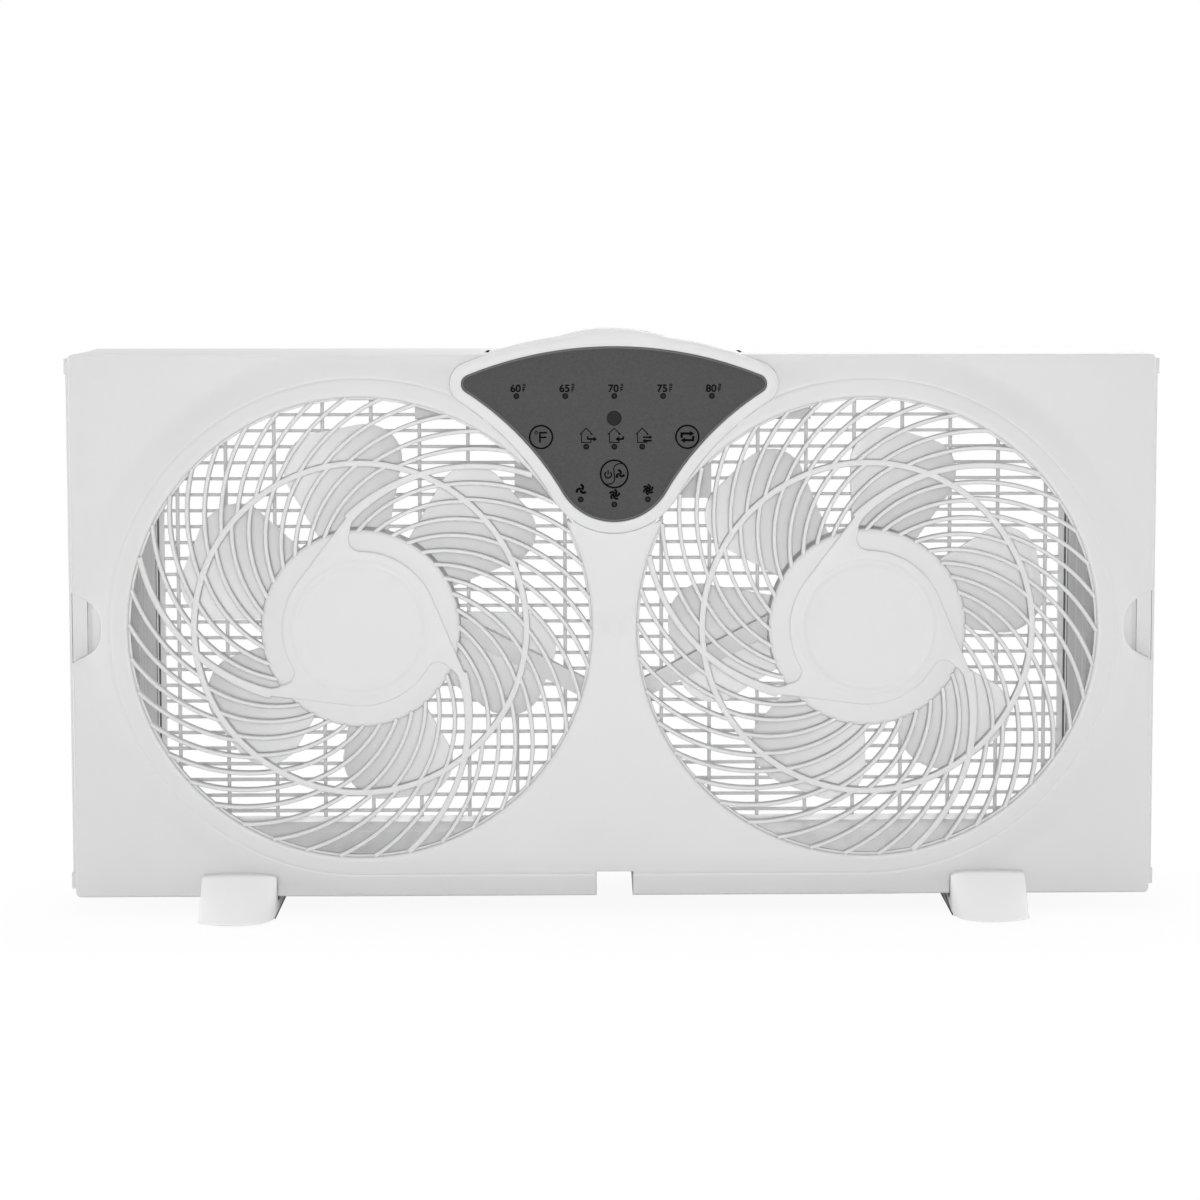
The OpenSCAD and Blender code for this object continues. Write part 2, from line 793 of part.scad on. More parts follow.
module blade() {
    chord = 80;
    intersection() {
        translate([0, 0, -blade_depth - 30]) linear_extrude(60) paddle_2d();
        translate([0, 0, -blade_depth]) rotate([blade_pitch, 0, 0])
            translate([blade_hub_r - 8, 0, -camber_r + 3]) rotate([0, 90, 0])
                difference() {
                    cylinder(r = camber_r, h = chord);
                    translate([0, 0, -1]) cylinder(r = camber_r - blade_t, h = chord + 2);
                    translate([0, -2 * camber_r, -1]) cube([2 * camber_r, 4 * camber_r, chord + 2]);
                }
    }
}

module fan_blades(side, first) {
    color(shade) on_fan(side) difference() {
        union() {
            for (i = [0 : blade_count - 1]) rotate([0, 0, first + i * 360 / blade_count]) blade();
            tube(blade_hub_r, shaft_r, blade_hub_front, blade_hub_back);
        }
        tube(blade_hub_r - 2, shaft_r + 5, 0, blade_hub_back - 2);
    }
}

module blade_nut(side) {
    color(white) on_fan(side) difference() {
        union() {
            tube(10, shaft_r, blade_hub_back, blade_hub_back + nut_l - 2);
            between(blade_hub_back + nut_l - 3, blade_hub_back + nut_l) circle(8);
        }
        for (a = [0 : 60 : 300]) translate(polar(11.5, a))
            between(blade_hub_back + 1.5, blade_hub_back + nut_l + 1) circle(2.5);
        between(blade_hub_back - 1, shaft_back) circle(shaft_r);
    }
}

// ---- rear ---------------------------------------------------------------------------------

module box_2d(inset = 0) {
    translate([-box_half_w + inset, box_shoulder + inset])
        square([2 * (box_half_w - inset), grille_half_h - box_shoulder - 2 * inset]);
    translate([-box_stem_w + inset, box_bottom + inset])
        square([2 * (box_stem_w - inset), grille_half_h - box_bottom - 2 * inset]);
}

module rear_opening_2d() {
    difference() {
        centred(2 * duct_half_w, 2 * grille_half_h);
        box_2d();
    }
}

module rear_housing() {
    color(white) on_face() difference() {
        union() {
            between(body_d - wall, body_d) difference() {
                rounded_rect(body_w, body_h, corner_r);
                rear_opening_2d();
            }
            between(parting_d, body_d - wall + eps) housing_walls_2d();
            for (s = [-1, 1]) {
                translate([s * (half_w - wall / 2), 0]) between(parting_d, body_d - wall + eps)
                    centred(wall, body_h - 2 * wall);
                translate([s * (half_w - panel_w / 2 - 1), 0]) between(parting_d, parting_d + wall)
                    centred(panel_w + 2, body_h - 2 * wall);
            }
            for (p = screw_pts) translate(p) between(parting_d, body_d) circle(boss_r + 1);
        }
        for (p = screw_pts) translate(p) {
            between(parting_d - 1, body_d + 1) circle(screw_r + 0.3);
            between(parting_d + screw_seat, body_d + 1) circle(screw_head_r + 0.3);
        }
        between(0, body_d + 1) bottom_notch_2d();
        translate(bush_at) between(body_d - wall - 1, body_d + 1) circle(bush_r);
    }
}

// Level bars with upright bars let into their front edges
module rear_grille() {
    levels = floor(grille_half_h / level_pitch);
    uprights = floor(duct_half_w / upright_pitch);
    front = body_d - bar_d;
    color(white) on_face() {
        between(front + bar_d / 3, body_d - 0.4) intersection() {
            for (i = [-levels : levels]) translate([0, i * level_pitch])
                centred(2 * duct_half_w, level_t);
            rear_opening_2d();
        }
        between(front, front + bar_d / 3 + 0.5) intersection() {
            for (i = [-uprights : uprights]) translate([i * upright_pitch, 0])
                centred(upright_w, 2 * grille_half_h);
            rear_opening_2d();
        }
    }
}

module terminal_box() {
    color(white) on_face() difference() {
        between(body_d - wall - box_d, body_d - wall) box_2d();
        between(body_d - box_d, body_d) box_2d(wall);
    }
}

module housing_screws() {
    color("silver") on_face() for (p = screw_pts) translate(p) {
        between(parting_d + screw_seat, parting_d + screw_seat + screw_head_l) difference() {
            circle(screw_head_r);
            circle(screw_head_r * 0.3, $fn = 6);
        }
        between(parting_d + screw_seat - screw_l, parting_d + screw_seat + eps) circle(screw_r);
    }
}

module cord_bush() {
    color(shade) on_face() translate(bush_at) {
        tube(bush_r, bush_bore_r, body_d - wall, body_d);
        tube(bush_r + 3, bush_bore_r, body_d, body_d + 2);
        tube(bush_r + 2, bush_bore_r, body_d - wall - 2, body_d - wall);
    }
}

// ---- side panels --------------------------------------------------------------------------

sleeve_front = pocket_front;
sleeve_back = parting_d - fit;
sleeve_half_h = half_h - wall - fit;
sleeve_out = half_w + 1.5;
panel_front = sleeve_front + panel_wall + fit;
panel_back = sleeve_back - panel_wall - fit;
panel_half_h = sleeve_half_h - panel_wall - fit;

module right_way(side) {
    mirror([side < 0 ? 1 : 0, 0, 0]) children();
}

module panel_sleeve(side) {
    color(white) on_face() right_way(side) difference() {
        translate([sleeve_out - panel_w, -sleeve_half_h]) between(sleeve_front, sleeve_back)
            square([panel_w, 2 * sleeve_half_h]);
        translate([sleeve_out - panel_w + panel_wall, panel_wall - sleeve_half_h])
            between(sleeve_front + panel_wall, sleeve_back - panel_wall)
                square([panel_w, 2 * (sleeve_half_h - panel_wall)]);
        translate([half_w - 10, -17]) between(sleeve_front - 1, sleeve_front + panel_wall + 1)
            square([3, 34]);
    }
}

module side_panel(side) {
    inner = sleeve_out - panel_w + panel_wall + 1;
    color(white) on_face() right_way(side) {
        difference() {
            translate([inner, -panel_half_h]) between(panel_front, panel_back)
                square([sleeve_out + fit - inner + eps, 2 * panel_half_h]);
            translate([inner - 1, panel_wall - panel_half_h])
                between(panel_front + panel_wall, panel_back - panel_wall)
                    square([sleeve_out - inner, 2 * (panel_half_h - panel_wall)]);
        }
        difference() {
            translate([sleeve_out + fit, -sleeve_half_h]) between(sleeve_front, sleeve_back)
                square([wall, 2 * sleeve_half_h]);
            translate([sleeve_out + fit + wall - 1, 9 - sleeve_half_h])
                between(sleeve_front - 1, sleeve_back + 1) square([2, 2 * (sleeve_half_h - 9)]);
        }
    }
}

// ---- feet ---------------------------------------------------------------------------------

front_y = face_y - foot_reach;
back_face_y = face_y + body_d;
pad_h = 2.2;
pad_lift = 0.8;

// Side view: sloping toes, and lips that hold the housing in front and behind
module foot_side_2d() {
    polygon([
        [front_y, pad_lift],
        [front_y, 6],
        [face_y - 7, foot_h + foot_lip],
        [face_y, foot_h + foot_lip],
        [face_y, foot_h],
        [back_face_y, foot_h],
        [back_face_y, foot_h + foot_lip],
        [back_face_y + 7, foot_h + foot_lip],
        [-front_y, 6],
        [-front_y, pad_lift]
    ]);
}

// Plan: a bowed toe at each end with round corners
module foot_plan_2d() {
    bow = 34;
    intersection() {
        union() {
            centred(foot_w, 2 * (-front_y - bow));
            for (s = [-1, 1]) translate([0, s * (-front_y - bow)]) circle(bow);
        }
        rounded_rect(foot_w, 10 - 2 * front_y, 4);
    }
}

module foot(side) {
    color(white) translate([side * foot_x, 0, 0]) difference() {
        intersection() {
            translate([-foot_w / 2, 0, 0]) rotate([90, 0, 90]) linear_extrude(foot_w) foot_side_2d();
            linear_extrude(foot_h + foot_lip + 1) foot_plan_2d();
        }
        for (y = [-1, 1]) translate([0, y * (-front_y - 18), -1])
            cylinder(r = 8.1, h = pad_h + 1);
    }
}

module foot_pads(side) {
    color([0.3, 0.3, 0.3]) translate([side * foot_x, 0, 0])
        for (y = [-1, 1]) translate([0, y * (-front_y - 18), 0]) cylinder(r = 8, h = pad_h);
}

// ---- nodes --------------------------------------------------------------------------------

front_cover();
front_guard(LEFT);  // left_front_guard
front_guard(RIGHT);  // right_front_guard
wire_conduit(LEFT);  // left_wire_conduit
wire_conduit(RIGHT);  // right_wire_conduit
centre_wire_duct();
control_bezel();
control_panel();
power_button();
temperature_button();
direction_button();
receiver_window();
indicator_lights();
control_board();
button_switches();
board_screws();
control_housing();
start_capacitors();
motor_front_case(LEFT);  // left_motor_front_case
motor_rear_case(LEFT);  // left_motor_rear_case
stator(LEFT);  // left_stator
windings(LEFT);  // left_windings
rotor(LEFT);  // left_rotor
shaft(LEFT);  // left_shaft
bearings(LEFT);  // left_bearings
fan_blades(LEFT, 40);  // left_fan_blades
blade_nut(LEFT);  // left_blade_nut
motor_front_case(RIGHT);  // right_motor_front_case
motor_rear_case(RIGHT);  // right_motor_rear_case
stator(RIGHT);  // right_stator
windings(RIGHT);  // right_windings
rotor(RIGHT);  // right_rotor
shaft(RIGHT);  // right_shaft
bearings(RIGHT);  // right_bearings
fan_blades(RIGHT, 12);  // right_fan_blades
blade_nut(RIGHT);  // right_blade_nut
motor_screws();
rear_housing();
rear_grille();
terminal_box();
housing_screws();
cord_bush();
panel_sleeve(LEFT);  // left_panel_sleeve
side_panel(LEFT);  // left_side_panel
panel_sleeve(RIGHT);  // right_panel_sleeve
side_panel(RIGHT);  // right_side_panel
foot(LEFT);  // left_foot
foot(RIGHT);  // right_foot
foot_pads(LEFT);  // left_foot_pads
foot_pads(RIGHT);  // right_foot_pads
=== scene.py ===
# %% [markdown]
# # A twin window fan
# This lesson dresses a window fan: two round openings with swirled guards, a dark control head between
# them, paddle blades behind, a rear grille, side panels that slide out and two feet.
# The solid model comes first. It brings every body at its real place, so a new piece only has to be
# drawn where its solid already is. We clear away what Blender starts with, load the solids, and note how
# large they are before anything is added.

# %% Load the solid model
import json
import math

import bmesh
import bpy
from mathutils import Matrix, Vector, geometry

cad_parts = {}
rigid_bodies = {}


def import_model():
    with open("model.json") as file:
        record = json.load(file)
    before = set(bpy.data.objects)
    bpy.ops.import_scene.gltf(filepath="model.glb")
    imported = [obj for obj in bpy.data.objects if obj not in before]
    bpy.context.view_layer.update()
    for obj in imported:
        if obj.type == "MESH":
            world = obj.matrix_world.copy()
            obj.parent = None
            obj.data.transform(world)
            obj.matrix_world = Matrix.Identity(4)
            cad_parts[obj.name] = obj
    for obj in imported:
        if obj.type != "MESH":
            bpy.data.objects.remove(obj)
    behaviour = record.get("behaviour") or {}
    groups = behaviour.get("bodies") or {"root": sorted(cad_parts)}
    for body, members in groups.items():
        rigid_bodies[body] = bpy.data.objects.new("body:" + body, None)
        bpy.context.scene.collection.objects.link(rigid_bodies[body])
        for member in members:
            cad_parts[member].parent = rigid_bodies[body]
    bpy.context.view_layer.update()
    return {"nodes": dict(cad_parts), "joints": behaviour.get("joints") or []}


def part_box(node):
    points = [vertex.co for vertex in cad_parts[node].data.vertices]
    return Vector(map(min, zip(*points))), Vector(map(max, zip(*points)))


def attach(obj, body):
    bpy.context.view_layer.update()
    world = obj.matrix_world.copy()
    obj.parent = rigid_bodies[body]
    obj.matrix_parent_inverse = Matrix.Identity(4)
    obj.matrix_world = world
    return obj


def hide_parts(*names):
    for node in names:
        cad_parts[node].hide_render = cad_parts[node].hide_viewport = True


for leftover in list(bpy.data.objects):
    bpy.data.objects.remove(leftover)
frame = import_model()

# %% [markdown]
# The drawings of a moulded front are made flat on a table, so we use the same habit here: x to the
# right, y up from the fans' axes and z out towards the room, all in millimetres. `at` turns such a point
# into Blender's metres. The flat face, the axes and their distance are read from the model, because a
# number that is typed twice is soon two different numbers.

# %% The drawing frame on the flat face
RELIEF = 7.0
JOINT_AT = {joint["name"]: joint.get("pos_m") for joint in frame["joints"]}
FAN_X = JOINT_AT["right_fan_spin"][0] * 1000
AXIS_Z = JOINT_AT["right_fan_spin"][2] * 1000
FACE_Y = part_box("front_cover")[0][1] * 1000 + RELIEF
HALF_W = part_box("front_cover")[1][0] * 1000
HALF_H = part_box("front_cover")[1][2] * 1000 - AXIS_Z


def at(x, y, z):
    """A point of the drawing frame, in millimetres, as a point of the scene, in metres."""
    return Vector((x, FACE_Y - z, AXIS_Z + y)) / 1000


print(f"fans at x = +-{FAN_X:.1f}, axes {AXIS_Z:.1f} high, face {HALF_W * 2:.0f} x {HALF_H * 2:.0f} mm")

# %% [markdown]
# ## Camera and light
# The photograph looks straight at the fan from about a metre and a half, a little from above, and its
# upright edges stay upright. A lens shift does that: the camera is held nearly level and the picture is
# moved on the sensor, as with a view camera. Turning the camera down instead would make the sides
# lean together.

# %% Camera
LENS_MM = 83.34


def add_object(name, data):
    """Puts a camera, a lamp or a mesh into the scene."""
    item = bpy.data.objects.new(name, data)
    bpy.context.scene.collection.objects.link(item)
    return item


camera = add_object("camera", bpy.data.cameras.new("camera"))
camera.location = (-0.0113, -1.6422, 0.3809)
camera.rotation_euler = (math.radians(85.5), 0, math.radians(-1.28))
camera.data.lens = LENS_MM
camera.data.shift_x = -0.0470
camera.data.shift_y = -0.1041
bpy.context.scene.camera = camera
print("camera lens", LENS_MM, "mm")

# %% [markdown]
# World, floor and every finish are small graphs of nodes. Two helpers keep them readable: `add_node` puts
# a node into a graph with the values of its free inputs, and `join` draws the wires, each one given as
# node, output, node, input.

# %% Nodes and wires
def add_node(tree, kind, values=None, operation=None):
    """A shader node of a kind, with values on some of its inputs."""
    node = tree.nodes.new("ShaderNode" + kind)
    if operation:
        node.operation = operation
    for socket, value in (values or {}).items():
        node.inputs[socket].default_value = value
    return node


def join(tree, *wires):
    """Links nodes; a wire is (node, output, node, input)."""
    for source, output, target, entry in wires:
        tree.links.new(source.outputs[output], target.inputs[entry])


def map_range(tree, start, end, low, high):
    """A node that turns values from start to end into values from low to high."""
    ends = {"From Min": start, "From Max": end, "To Min": low, "To Max": high}
    return add_node(tree, "MapRange", ends)


PURE_WHITE = (1, 1, 1, 1)
print("graph helpers ready")

# %% [markdown]
# White plastic on a white background needs light that comes from everywhere, or it turns grey. So the
# world is a soft white room, and the main lamp sits right behind the camera: its shadows fall exactly
# behind what casts them, so the blades stay light between the ribs. Four more lamps, from above, from
# both sides and from behind, keep the edges from going dark. The background itself is white only for rays
# that reach the camera or a reflection, so it can be pure white without more light on the object.

# %% World and lamps
ROOM_LIGHT = 0.36
FAN_MIDDLE = Vector((0, 0, 0.17))
world = bpy.data.worlds.new("soft_room")
bpy.context.scene.world = world
world.use_nodes = True
air = world.node_tree
air.nodes.clear()
ray = add_node(air, "LightPath")
seen_or_mirrored = add_node(air, "Math", operation="MAXIMUM")
seen_at_all = add_node(air, "Math", operation="MAXIMUM")
room = add_node(air, "Background", {"Color": PURE_WHITE, "Strength": ROOM_LIGHT})
backdrop = add_node(air, "Background", {"Color": PURE_WHITE, "Strength": 1})
pick = add_node(air, "MixShader")
world_out = add_node(air, "OutputWorld")
join(
    air,
    (ray, "Is Camera Ray", seen_or_mirrored, 0),
    (ray, "Is Glossy Ray", seen_or_mirrored, 1),
    (seen_or_mirrored, 0, seen_at_all, 0),
    (ray, "Is Transmission Ray", seen_at_all, 1),
    (seen_at_all, 0, pick, 0),
    (room, 0, pick, 1),
    (backdrop, 0, pick, 2),
    (pick, 0, world_out, 0),
)


def soft_lamp(name, spot, size, watts):
    """A large square lamp at spot, turned towards the middle of the fan."""
    data = bpy.data.lights.new(name, "AREA")
    data.shape = "SQUARE"
    data.size = size
    data.energy = watts
    lamp = add_object(name, data)
    lamp.location = spot
    lamp.rotation_euler = (FAN_MIDDLE - Vector(spot)).to_track_quat("-Z", "Y").to_euler()


soft_lamp("camera_softbox", (-0.0113, -1.66, 0.381), 0.06, 15)
soft_lamp("top_softbox", (-0.1, 0.25, 2.4), 1.0, 26)
soft_lamp("left_softbox", (-2.2, 0.0, 0.5), 1.0, 20)
soft_lamp("right_softbox", (2.2, 0.0, 0.5), 1.0, 18)
soft_lamp("back_softbox", (0.5, 2.2, 1.2), 1.2, 15)

# %% [markdown]
# The floor catches the soft shadow under the fan, as the table of a product studio does. Seen by the
# camera most of it is plain white, and further out it melts into the white background, so that no
# horizon line crosses the picture. The fade runs with the distance from the fan, not from the camera.

# %% Floor
floor_mesh = bpy.data.meshes.new("floor")
floor_mesh.from_pydata([(-6, -6, 0), (6, -6, 0), (6, 6, 0), (-6, 6, 0)], [], [(0, 1, 2, 3)])
floor = add_object("floor", floor_mesh)
floor_look = bpy.data.materials.new("studio_floor")
floor_look.use_nodes = True
ground = floor_look.node_tree
ground.nodes.clear()
matte = add_node(ground, "BsdfDiffuse", {"Color": (0.9, 0.9, 0.9, 1)})
glow = add_node(ground, "Emission", {"Color": PURE_WHITE, "Strength": 1})
place = add_node(ground, "NewGeometry")
reach = add_node(ground, "VectorMath", operation="LENGTH")
fade = map_range(ground, 0.25, 0.75, 0.92, 1.0)
seen = add_node(ground, "LightPath")
share = add_node(ground, "Math", operation="MULTIPLY")
floor_mix = add_node(ground, "MixShader")
floor_out = add_node(ground, "OutputMaterial")
join(
    ground,
    (place, "Position", reach, 0),
    (reach, "Value", fade, "Value"),
    (fade, "Result", share, 0),
    (seen, "Is Camera Ray", share, 1),
    (share, 0, floor_mix, 0),
    (matte, 0, floor_mix, 1),
    (glow, 0, floor_mix, 2),
    (floor_mix, 0, floor_out, 0),
)
floor_mesh.materials.append(floor_look)
bpy.context.scene.view_settings.view_transform = "Standard"
print("floor laid, standard view transform")

# %% [markdown]
# ## Finishes
# Nearly all of this fan is one white plastic, moulded in polished tools and only faintly uneven: the
# colour drifts a little over a hand's width, and the skin has a very fine grain that breaks up the
# highlights. One function makes every plastic, from its colour, its gloss and the size of its grain.
# Noise in object space is used and no picture, so the finish keeps its scale on every piece. Two steps
# serve metals as well: `tint` lets a noise drive the colour, and `roughen` drives gloss and bumps.

# %% A recipe for moulded plastic
BUMP_DEPTH = 0.0002


def blank_look(name):
    """A new material with its graph and its shader."""
    look = bpy.data.materials.new(name)
    look.use_nodes = True
    return look, look.node_tree, look.node_tree.nodes["Principled BSDF"]


def tint(tree, shader, noise, colours, stops):
    """Lets a noise run the base colour between two colours."""
    ramp = add_node(tree, "ValToRGB")
    for element, colour, stop in zip(ramp.color_ramp.elements, colours, stops):
        element.position = stop
        element.color = (*colour, 1)
    join(tree, (noise, "Fac", ramp, "Fac"), (ramp, "Color", shader, "Base Color"))


def roughen(tree, shader, cloud, gloss, skin, strength):
    """Roughness between two values from one noise, and fine bumps from another."""
    rough = add_node(tree, "MapRange", {"To Min": gloss[0], "To Max": gloss[1]})
    bump = add_node(tree, "Bump", {"Strength": strength, "Distance": BUMP_DEPTH})
    join(
        tree,
        (cloud, "Fac", rough, "Value"),
        (rough, "Result", shader, "Roughness"),
        (skin, "Fac", bump, "Height"),
        (bump, "Normal", shader, "Normal"),
    )


def plastic(name, colour, gloss, drift=0.02, grain=0.02, grain_size=900.0, sheen=0.5):
    """Moulded plastic: the colour drifts by `drift`, the roughness runs over `gloss`."""
    look, tree, shader = blank_look(name)
    shader.inputs["Specular IOR Level"].default_value = sheen
    coords = add_node(tree, "TexCoord")
    cloud = add_node(tree, "TexNoise", {"Scale": 14, "Detail": 3})
    skin = add_node(tree, "TexNoise", {"Scale": grain_size, "Detail": 2})
    join(tree, (coords, "Object", cloud, "Vector"), (coords, "Object", skin, "Vector"))
    deep = [c * (1 - drift) for c in colour]
    light = [min(1, c * (1 + drift)) for c in colour]
    tint(tree, shader, cloud, (deep, light), (0.3, 0.7))
    roughen(tree, shader, cloud, gloss, skin, grain)
    return look


def grey_plastic(name, level, gloss=(0.48, 0.60), drift=0.012, grain=0.05, **more):
    """Plastic without any hue, at one level of grey."""
    return plastic(name, (level, level, level), gloss, drift, grain, **more)


WHITE = grey_plastic("white_moulding", 0.555, (0.50, 0.62))
# Feet: the same white, painted lighter than the cover, so that their flanks in shade under the body stay
# pale.
FOOT_PAINTED_LIGHT = grey_plastic("foot_moulding", 0.69, drift=0.010)
# Floor and ceiling of the ducts: the same white, painted much lighter, against the shade behind the guards.
INNER_PAINTED_LIGHT = grey_plastic("inner_painted_light", 0.91)
# Blades: the same white, painted lighter than the cover, against the shade inside the ducts.
BLADE_PAINTED_LIGHT = grey_plastic("shaded_moulding", 0.81, (0.48, 0.58))
# Rear grille: kept darker than the other inside parts, as painted shade at the dim back of the ducts.
GRILLE_PAINTED_SHADE = grey_plastic("grille_painted_shade", 0.60)
BLACK_PLASTIC = grey_plastic("black_plastic", 0.035, (0.35, 0.5), 0.1, 0.1)
RUBBER = grey_plastic("pad_rubber", 0.55, (0.75, 0.9), 0.03, 0.5, grain_size=400)
INK = grey_plastic("black_ink", 0.003, (0.45, 0.6), 0.2, sheen=0.0)
JOINT_SHADE = grey_plastic("joint_shade", 0.12, (0.6, 0.7), 0.1, sheen=0.1)
LIGHT_LENS = grey_plastic("light_lens", 0.016, (0.4, 0.5), 0.2, 0.02, sheen=0.06)
DARK_LENS = plastic("dark_lens", (0.016, 0.015, 0.016), (0.5, 0.6), 0.2, 0.01, sheen=0.06)
BOARD = plastic("circuit_board", (0.02, 0.11, 0.05), (0.3, 0.45), 0.2, 0.2, grain_size=300)
CAPACITOR = plastic("capacitor_case", (0.62, 0.58, 0.20), (0.35, 0.5), 0.04, 0.05)
print("plastics ready, from", WHITE.name, "to", CAPACITOR.name)

# %% [markdown]
# The control panel is a dark grey sheet with a satin, slightly sparkling skin: under a lens it is
# speckled, because the sheet is sprayed. The same recipe serves with a stronger drift, and a second,
# much finer noise changes the colour a little from speck to speck. `scale_colour` does that last step:
# it takes whatever feeds the shader's colour, multiplies it by a factor and plugs it in again.

# %% Speckled dark sheet
# The sloping edge of the sheet gets a lighter grey: a painted highlight.
SHEET_EDGE_HIGHLIGHT = grey_plastic("panel_edge_highlight", 0.13, (0.5, 0.6), 0.03, 0.1, sheen=0.2)
DARK_PANEL = plastic("dark_panel", (0.058, 0.058, 0.059), (0.5, 0.6), 0.03, 0.12, sheen=0.08)


def scale_colour(tree, factor):
    """Multiplies the shader's colour by the result of the node `factor`."""
    shader = tree.nodes["Principled BSDF"]
    scaled = add_node(tree, "VectorMath", operation="SCALE")
    tree.links.new(shader.inputs["Base Color"].links[0].from_socket, scaled.inputs[0])
    join(tree, (factor, "Result", scaled, "Scale"), (scaled, "Vector", shader, "Base Color"))


def add_speckle(look, scale, amount):
    """Mixes a fine noise into the colour, so that the sheet looks sprayed."""
    tree = look.node_tree
    coords = add_node(tree, "TexCoord")
    speck = add_node(tree, "TexNoise", {"Scale": scale, "Detail": 1})
    level = map_range(tree, 0.3, 0.7, 1 - amount, 1 + amount)
    join(tree, (coords, "Object", speck, "Vector"), (speck, "Fac", level, "Value"))
    scale_colour(tree, level)


add_speckle(DARK_PANEL, 1400, 0.10)
print("dark panel speckled")

# %% [markdown]
# The deep walls behind the openings leave the tool slowly and keep faint draw marks. A noise whose space
# is squeezed along one axis turns into streaks along that axis, so one recipe serves the side walls, with
# upright streaks, and the floor and ceiling, with streaks that run to the back.

# %% Walls with draw marks
UPRIGHT = (1, 1, 0.01)
TO_THE_BACK = (1, 0.01, 1)


def add_draw_marks(look, squeeze, amount):
    """Darkens the colour in thin streaks along the axis that `squeeze` makes small."""
    tree = look.node_tree
    coords = add_node(tree, "TexCoord")
    mapping = add_node(tree, "Mapping", {"Scale": squeeze})
    streaks = add_node(tree, "TexNoise", {"Scale": 170, "Detail": 3})
    level = map_range(tree, 0.35, 0.65, 1 - amount, 1.0)
    join(
        tree,
        (coords, "Object", mapping, "Vector"),
        (mapping, "Vector", streaks, "Vector"),
        (streaks, "Fac", level, "Value"),
    )
    scale_colour(tree, level)


# The side walls are a deeper grey than the floor and ceiling: painted shade, for the light that the guards
# keep from them.
SIDE_WALL_PAINTED_SHADE = grey_plastic("side_wall_painted_shade", 0.76)
# The boards beside the openings are a deep grey: painted shade.
LEAD_IN_SHADE = grey_plastic("lead_in_painted_shade", 0.38, (0.55, 0.65), sheen=0.2)
add_draw_marks(SIDE_WALL_PAINTED_SHADE, UPRIGHT, 0.16)
add_draw_marks(LEAD_IN_SHADE, UPRIGHT, 0.12)
add_draw_marks(INNER_PAINTED_LIGHT, TO_THE_BACK, 0.07)
print("draw marks on", SIDE_WALL_PAINTED_SHADE.name, "and", INNER_PAINTED_LIGHT.name)

# %% [markdown]
# The rear housing is one solid, and its inside catches much less light than its outside. So the finish
# paints light into the inside: a face that looks away from the middle of the fan, or to the back, is an
# outer one and takes a deeper colour, the cover's own, and every other face keeps a lighter one against the
# shade inside. Only the surface's own place and normal are used, so it is the same from every side.

# %% One moulding, painted lighter inside
HOUSING_PAINTED_LIGHT = grey_plastic("housing_painted_light", 0.91)


def paint_inside_lighter(look, share):
    """Multiplies the colour by `share` on faces that look outwards or to the back; the inner faces keep the
    lighter colour, painted light against the shade inside.
    """
    tree = look.node_tree
    surface = add_node(tree, "NewGeometry")
    ends = {1: (1, 0, 1), 2: (0, 0.2, -AXIS_Z / 1000)}
    from_middle = add_node(tree, "VectorMath", ends, operation="MULTIPLY_ADD")
    outwards = add_node(tree, "VectorMath", operation="DOT_PRODUCT")
    level = map_range(tree, 0.02, 0.06, 1.0, share)
    join(
        tree,
        (surface, "Position", from_middle, 0),
        (from_middle, "Vector", outwards, 0),
        (surface, "True Normal", outwards, 1),
        (outwards, "Value", level, "Value"),
    )
    scale_colour(tree, level)


paint_inside_lighter(HOUSING_PAINTED_LIGHT, 0.61)
print("two tones:", HOUSING_PAINTED_LIGHT.name)

# %% [markdown]
# Metals hide inside: steel screws and motor cases, a stack of steel sheets, copper wire, a cast
# aluminium rotor and bronze bearings. Their colour lives in the reflection, so the base colour is the
# metal's own and the roughness does the rest. A stretched noise gives the turned or drawn look.

# %% A recipe for metal
def metal(name, colour, gloss, stretch=(1, 1, 1), depth=0.05):
    """Bare metal with fine marks, drawn out along an axis by `stretch`."""
    look, tree, shader = blank_look(name)
    shader.inputs["Metallic"].default_value = 1
    coords = add_node(tree, "TexCoord")
    mapping = add_node(tree, "Mapping", {"Scale": stretch})
    marks = add_node(tree, "TexNoise", {"Scale": 300, "Detail": 4})
    join(tree, (coords, "Object", mapping, "Vector"), (mapping, "Vector", marks, "Vector"))
    tint(tree, shader, marks, ([c * 0.85 for c in colour], colour), (0, 1))
    roughen(tree, shader, marks, gloss, marks, depth)
    return look


SCREW_STEEL = metal("screw_steel", (0.62, 0.62, 0.63), (0.25, 0.4))
MOTOR_CASE = metal("motor_case", (0.58, 0.59, 0.60), (0.35, 0.5), (1, 0.1, 1))
STATOR_STEEL = metal("stator_steel", (0.35, 0.35, 0.36), (0.45, 0.6), (0.2, 8, 0.2), 0.4)
COPPER = metal("winding_copper", (0.72, 0.33, 0.16), (0.25, 0.4), (6, 1, 6), 0.5)
ALUMINIUM = metal("rotor_aluminium", (0.70, 0.70, 0.71), (0.35, 0.5), (1, 6, 1), 0.2)
BRONZE = metal("bearing_bronze", (0.66, 0.46, 0.24), (0.3, 0.45))
print("metals ready, from", SCREW_STEEL.name, "to", BRONZE.name)

# %% [markdown]
# ## Helpers for every piece
# `make` turns points of the drawing frame into an object, gives it a finish, and lets it ride on a body,
# so that nothing can be forgotten. `bake` applies the modifiers of a piece and marks its creases: a
# moulding is smooth where it curves and crisp where it turns, and an angle tells the two apart.

# %% Make and bake
CREASE = 32


def crease(mesh, degrees=CREASE):
    """Smooth shading with crisp edges where the surface turns by more than `degrees`."""
    mesh.shade_smooth()
    mesh.set_sharp_from_angle(angle=math.radians(degrees))


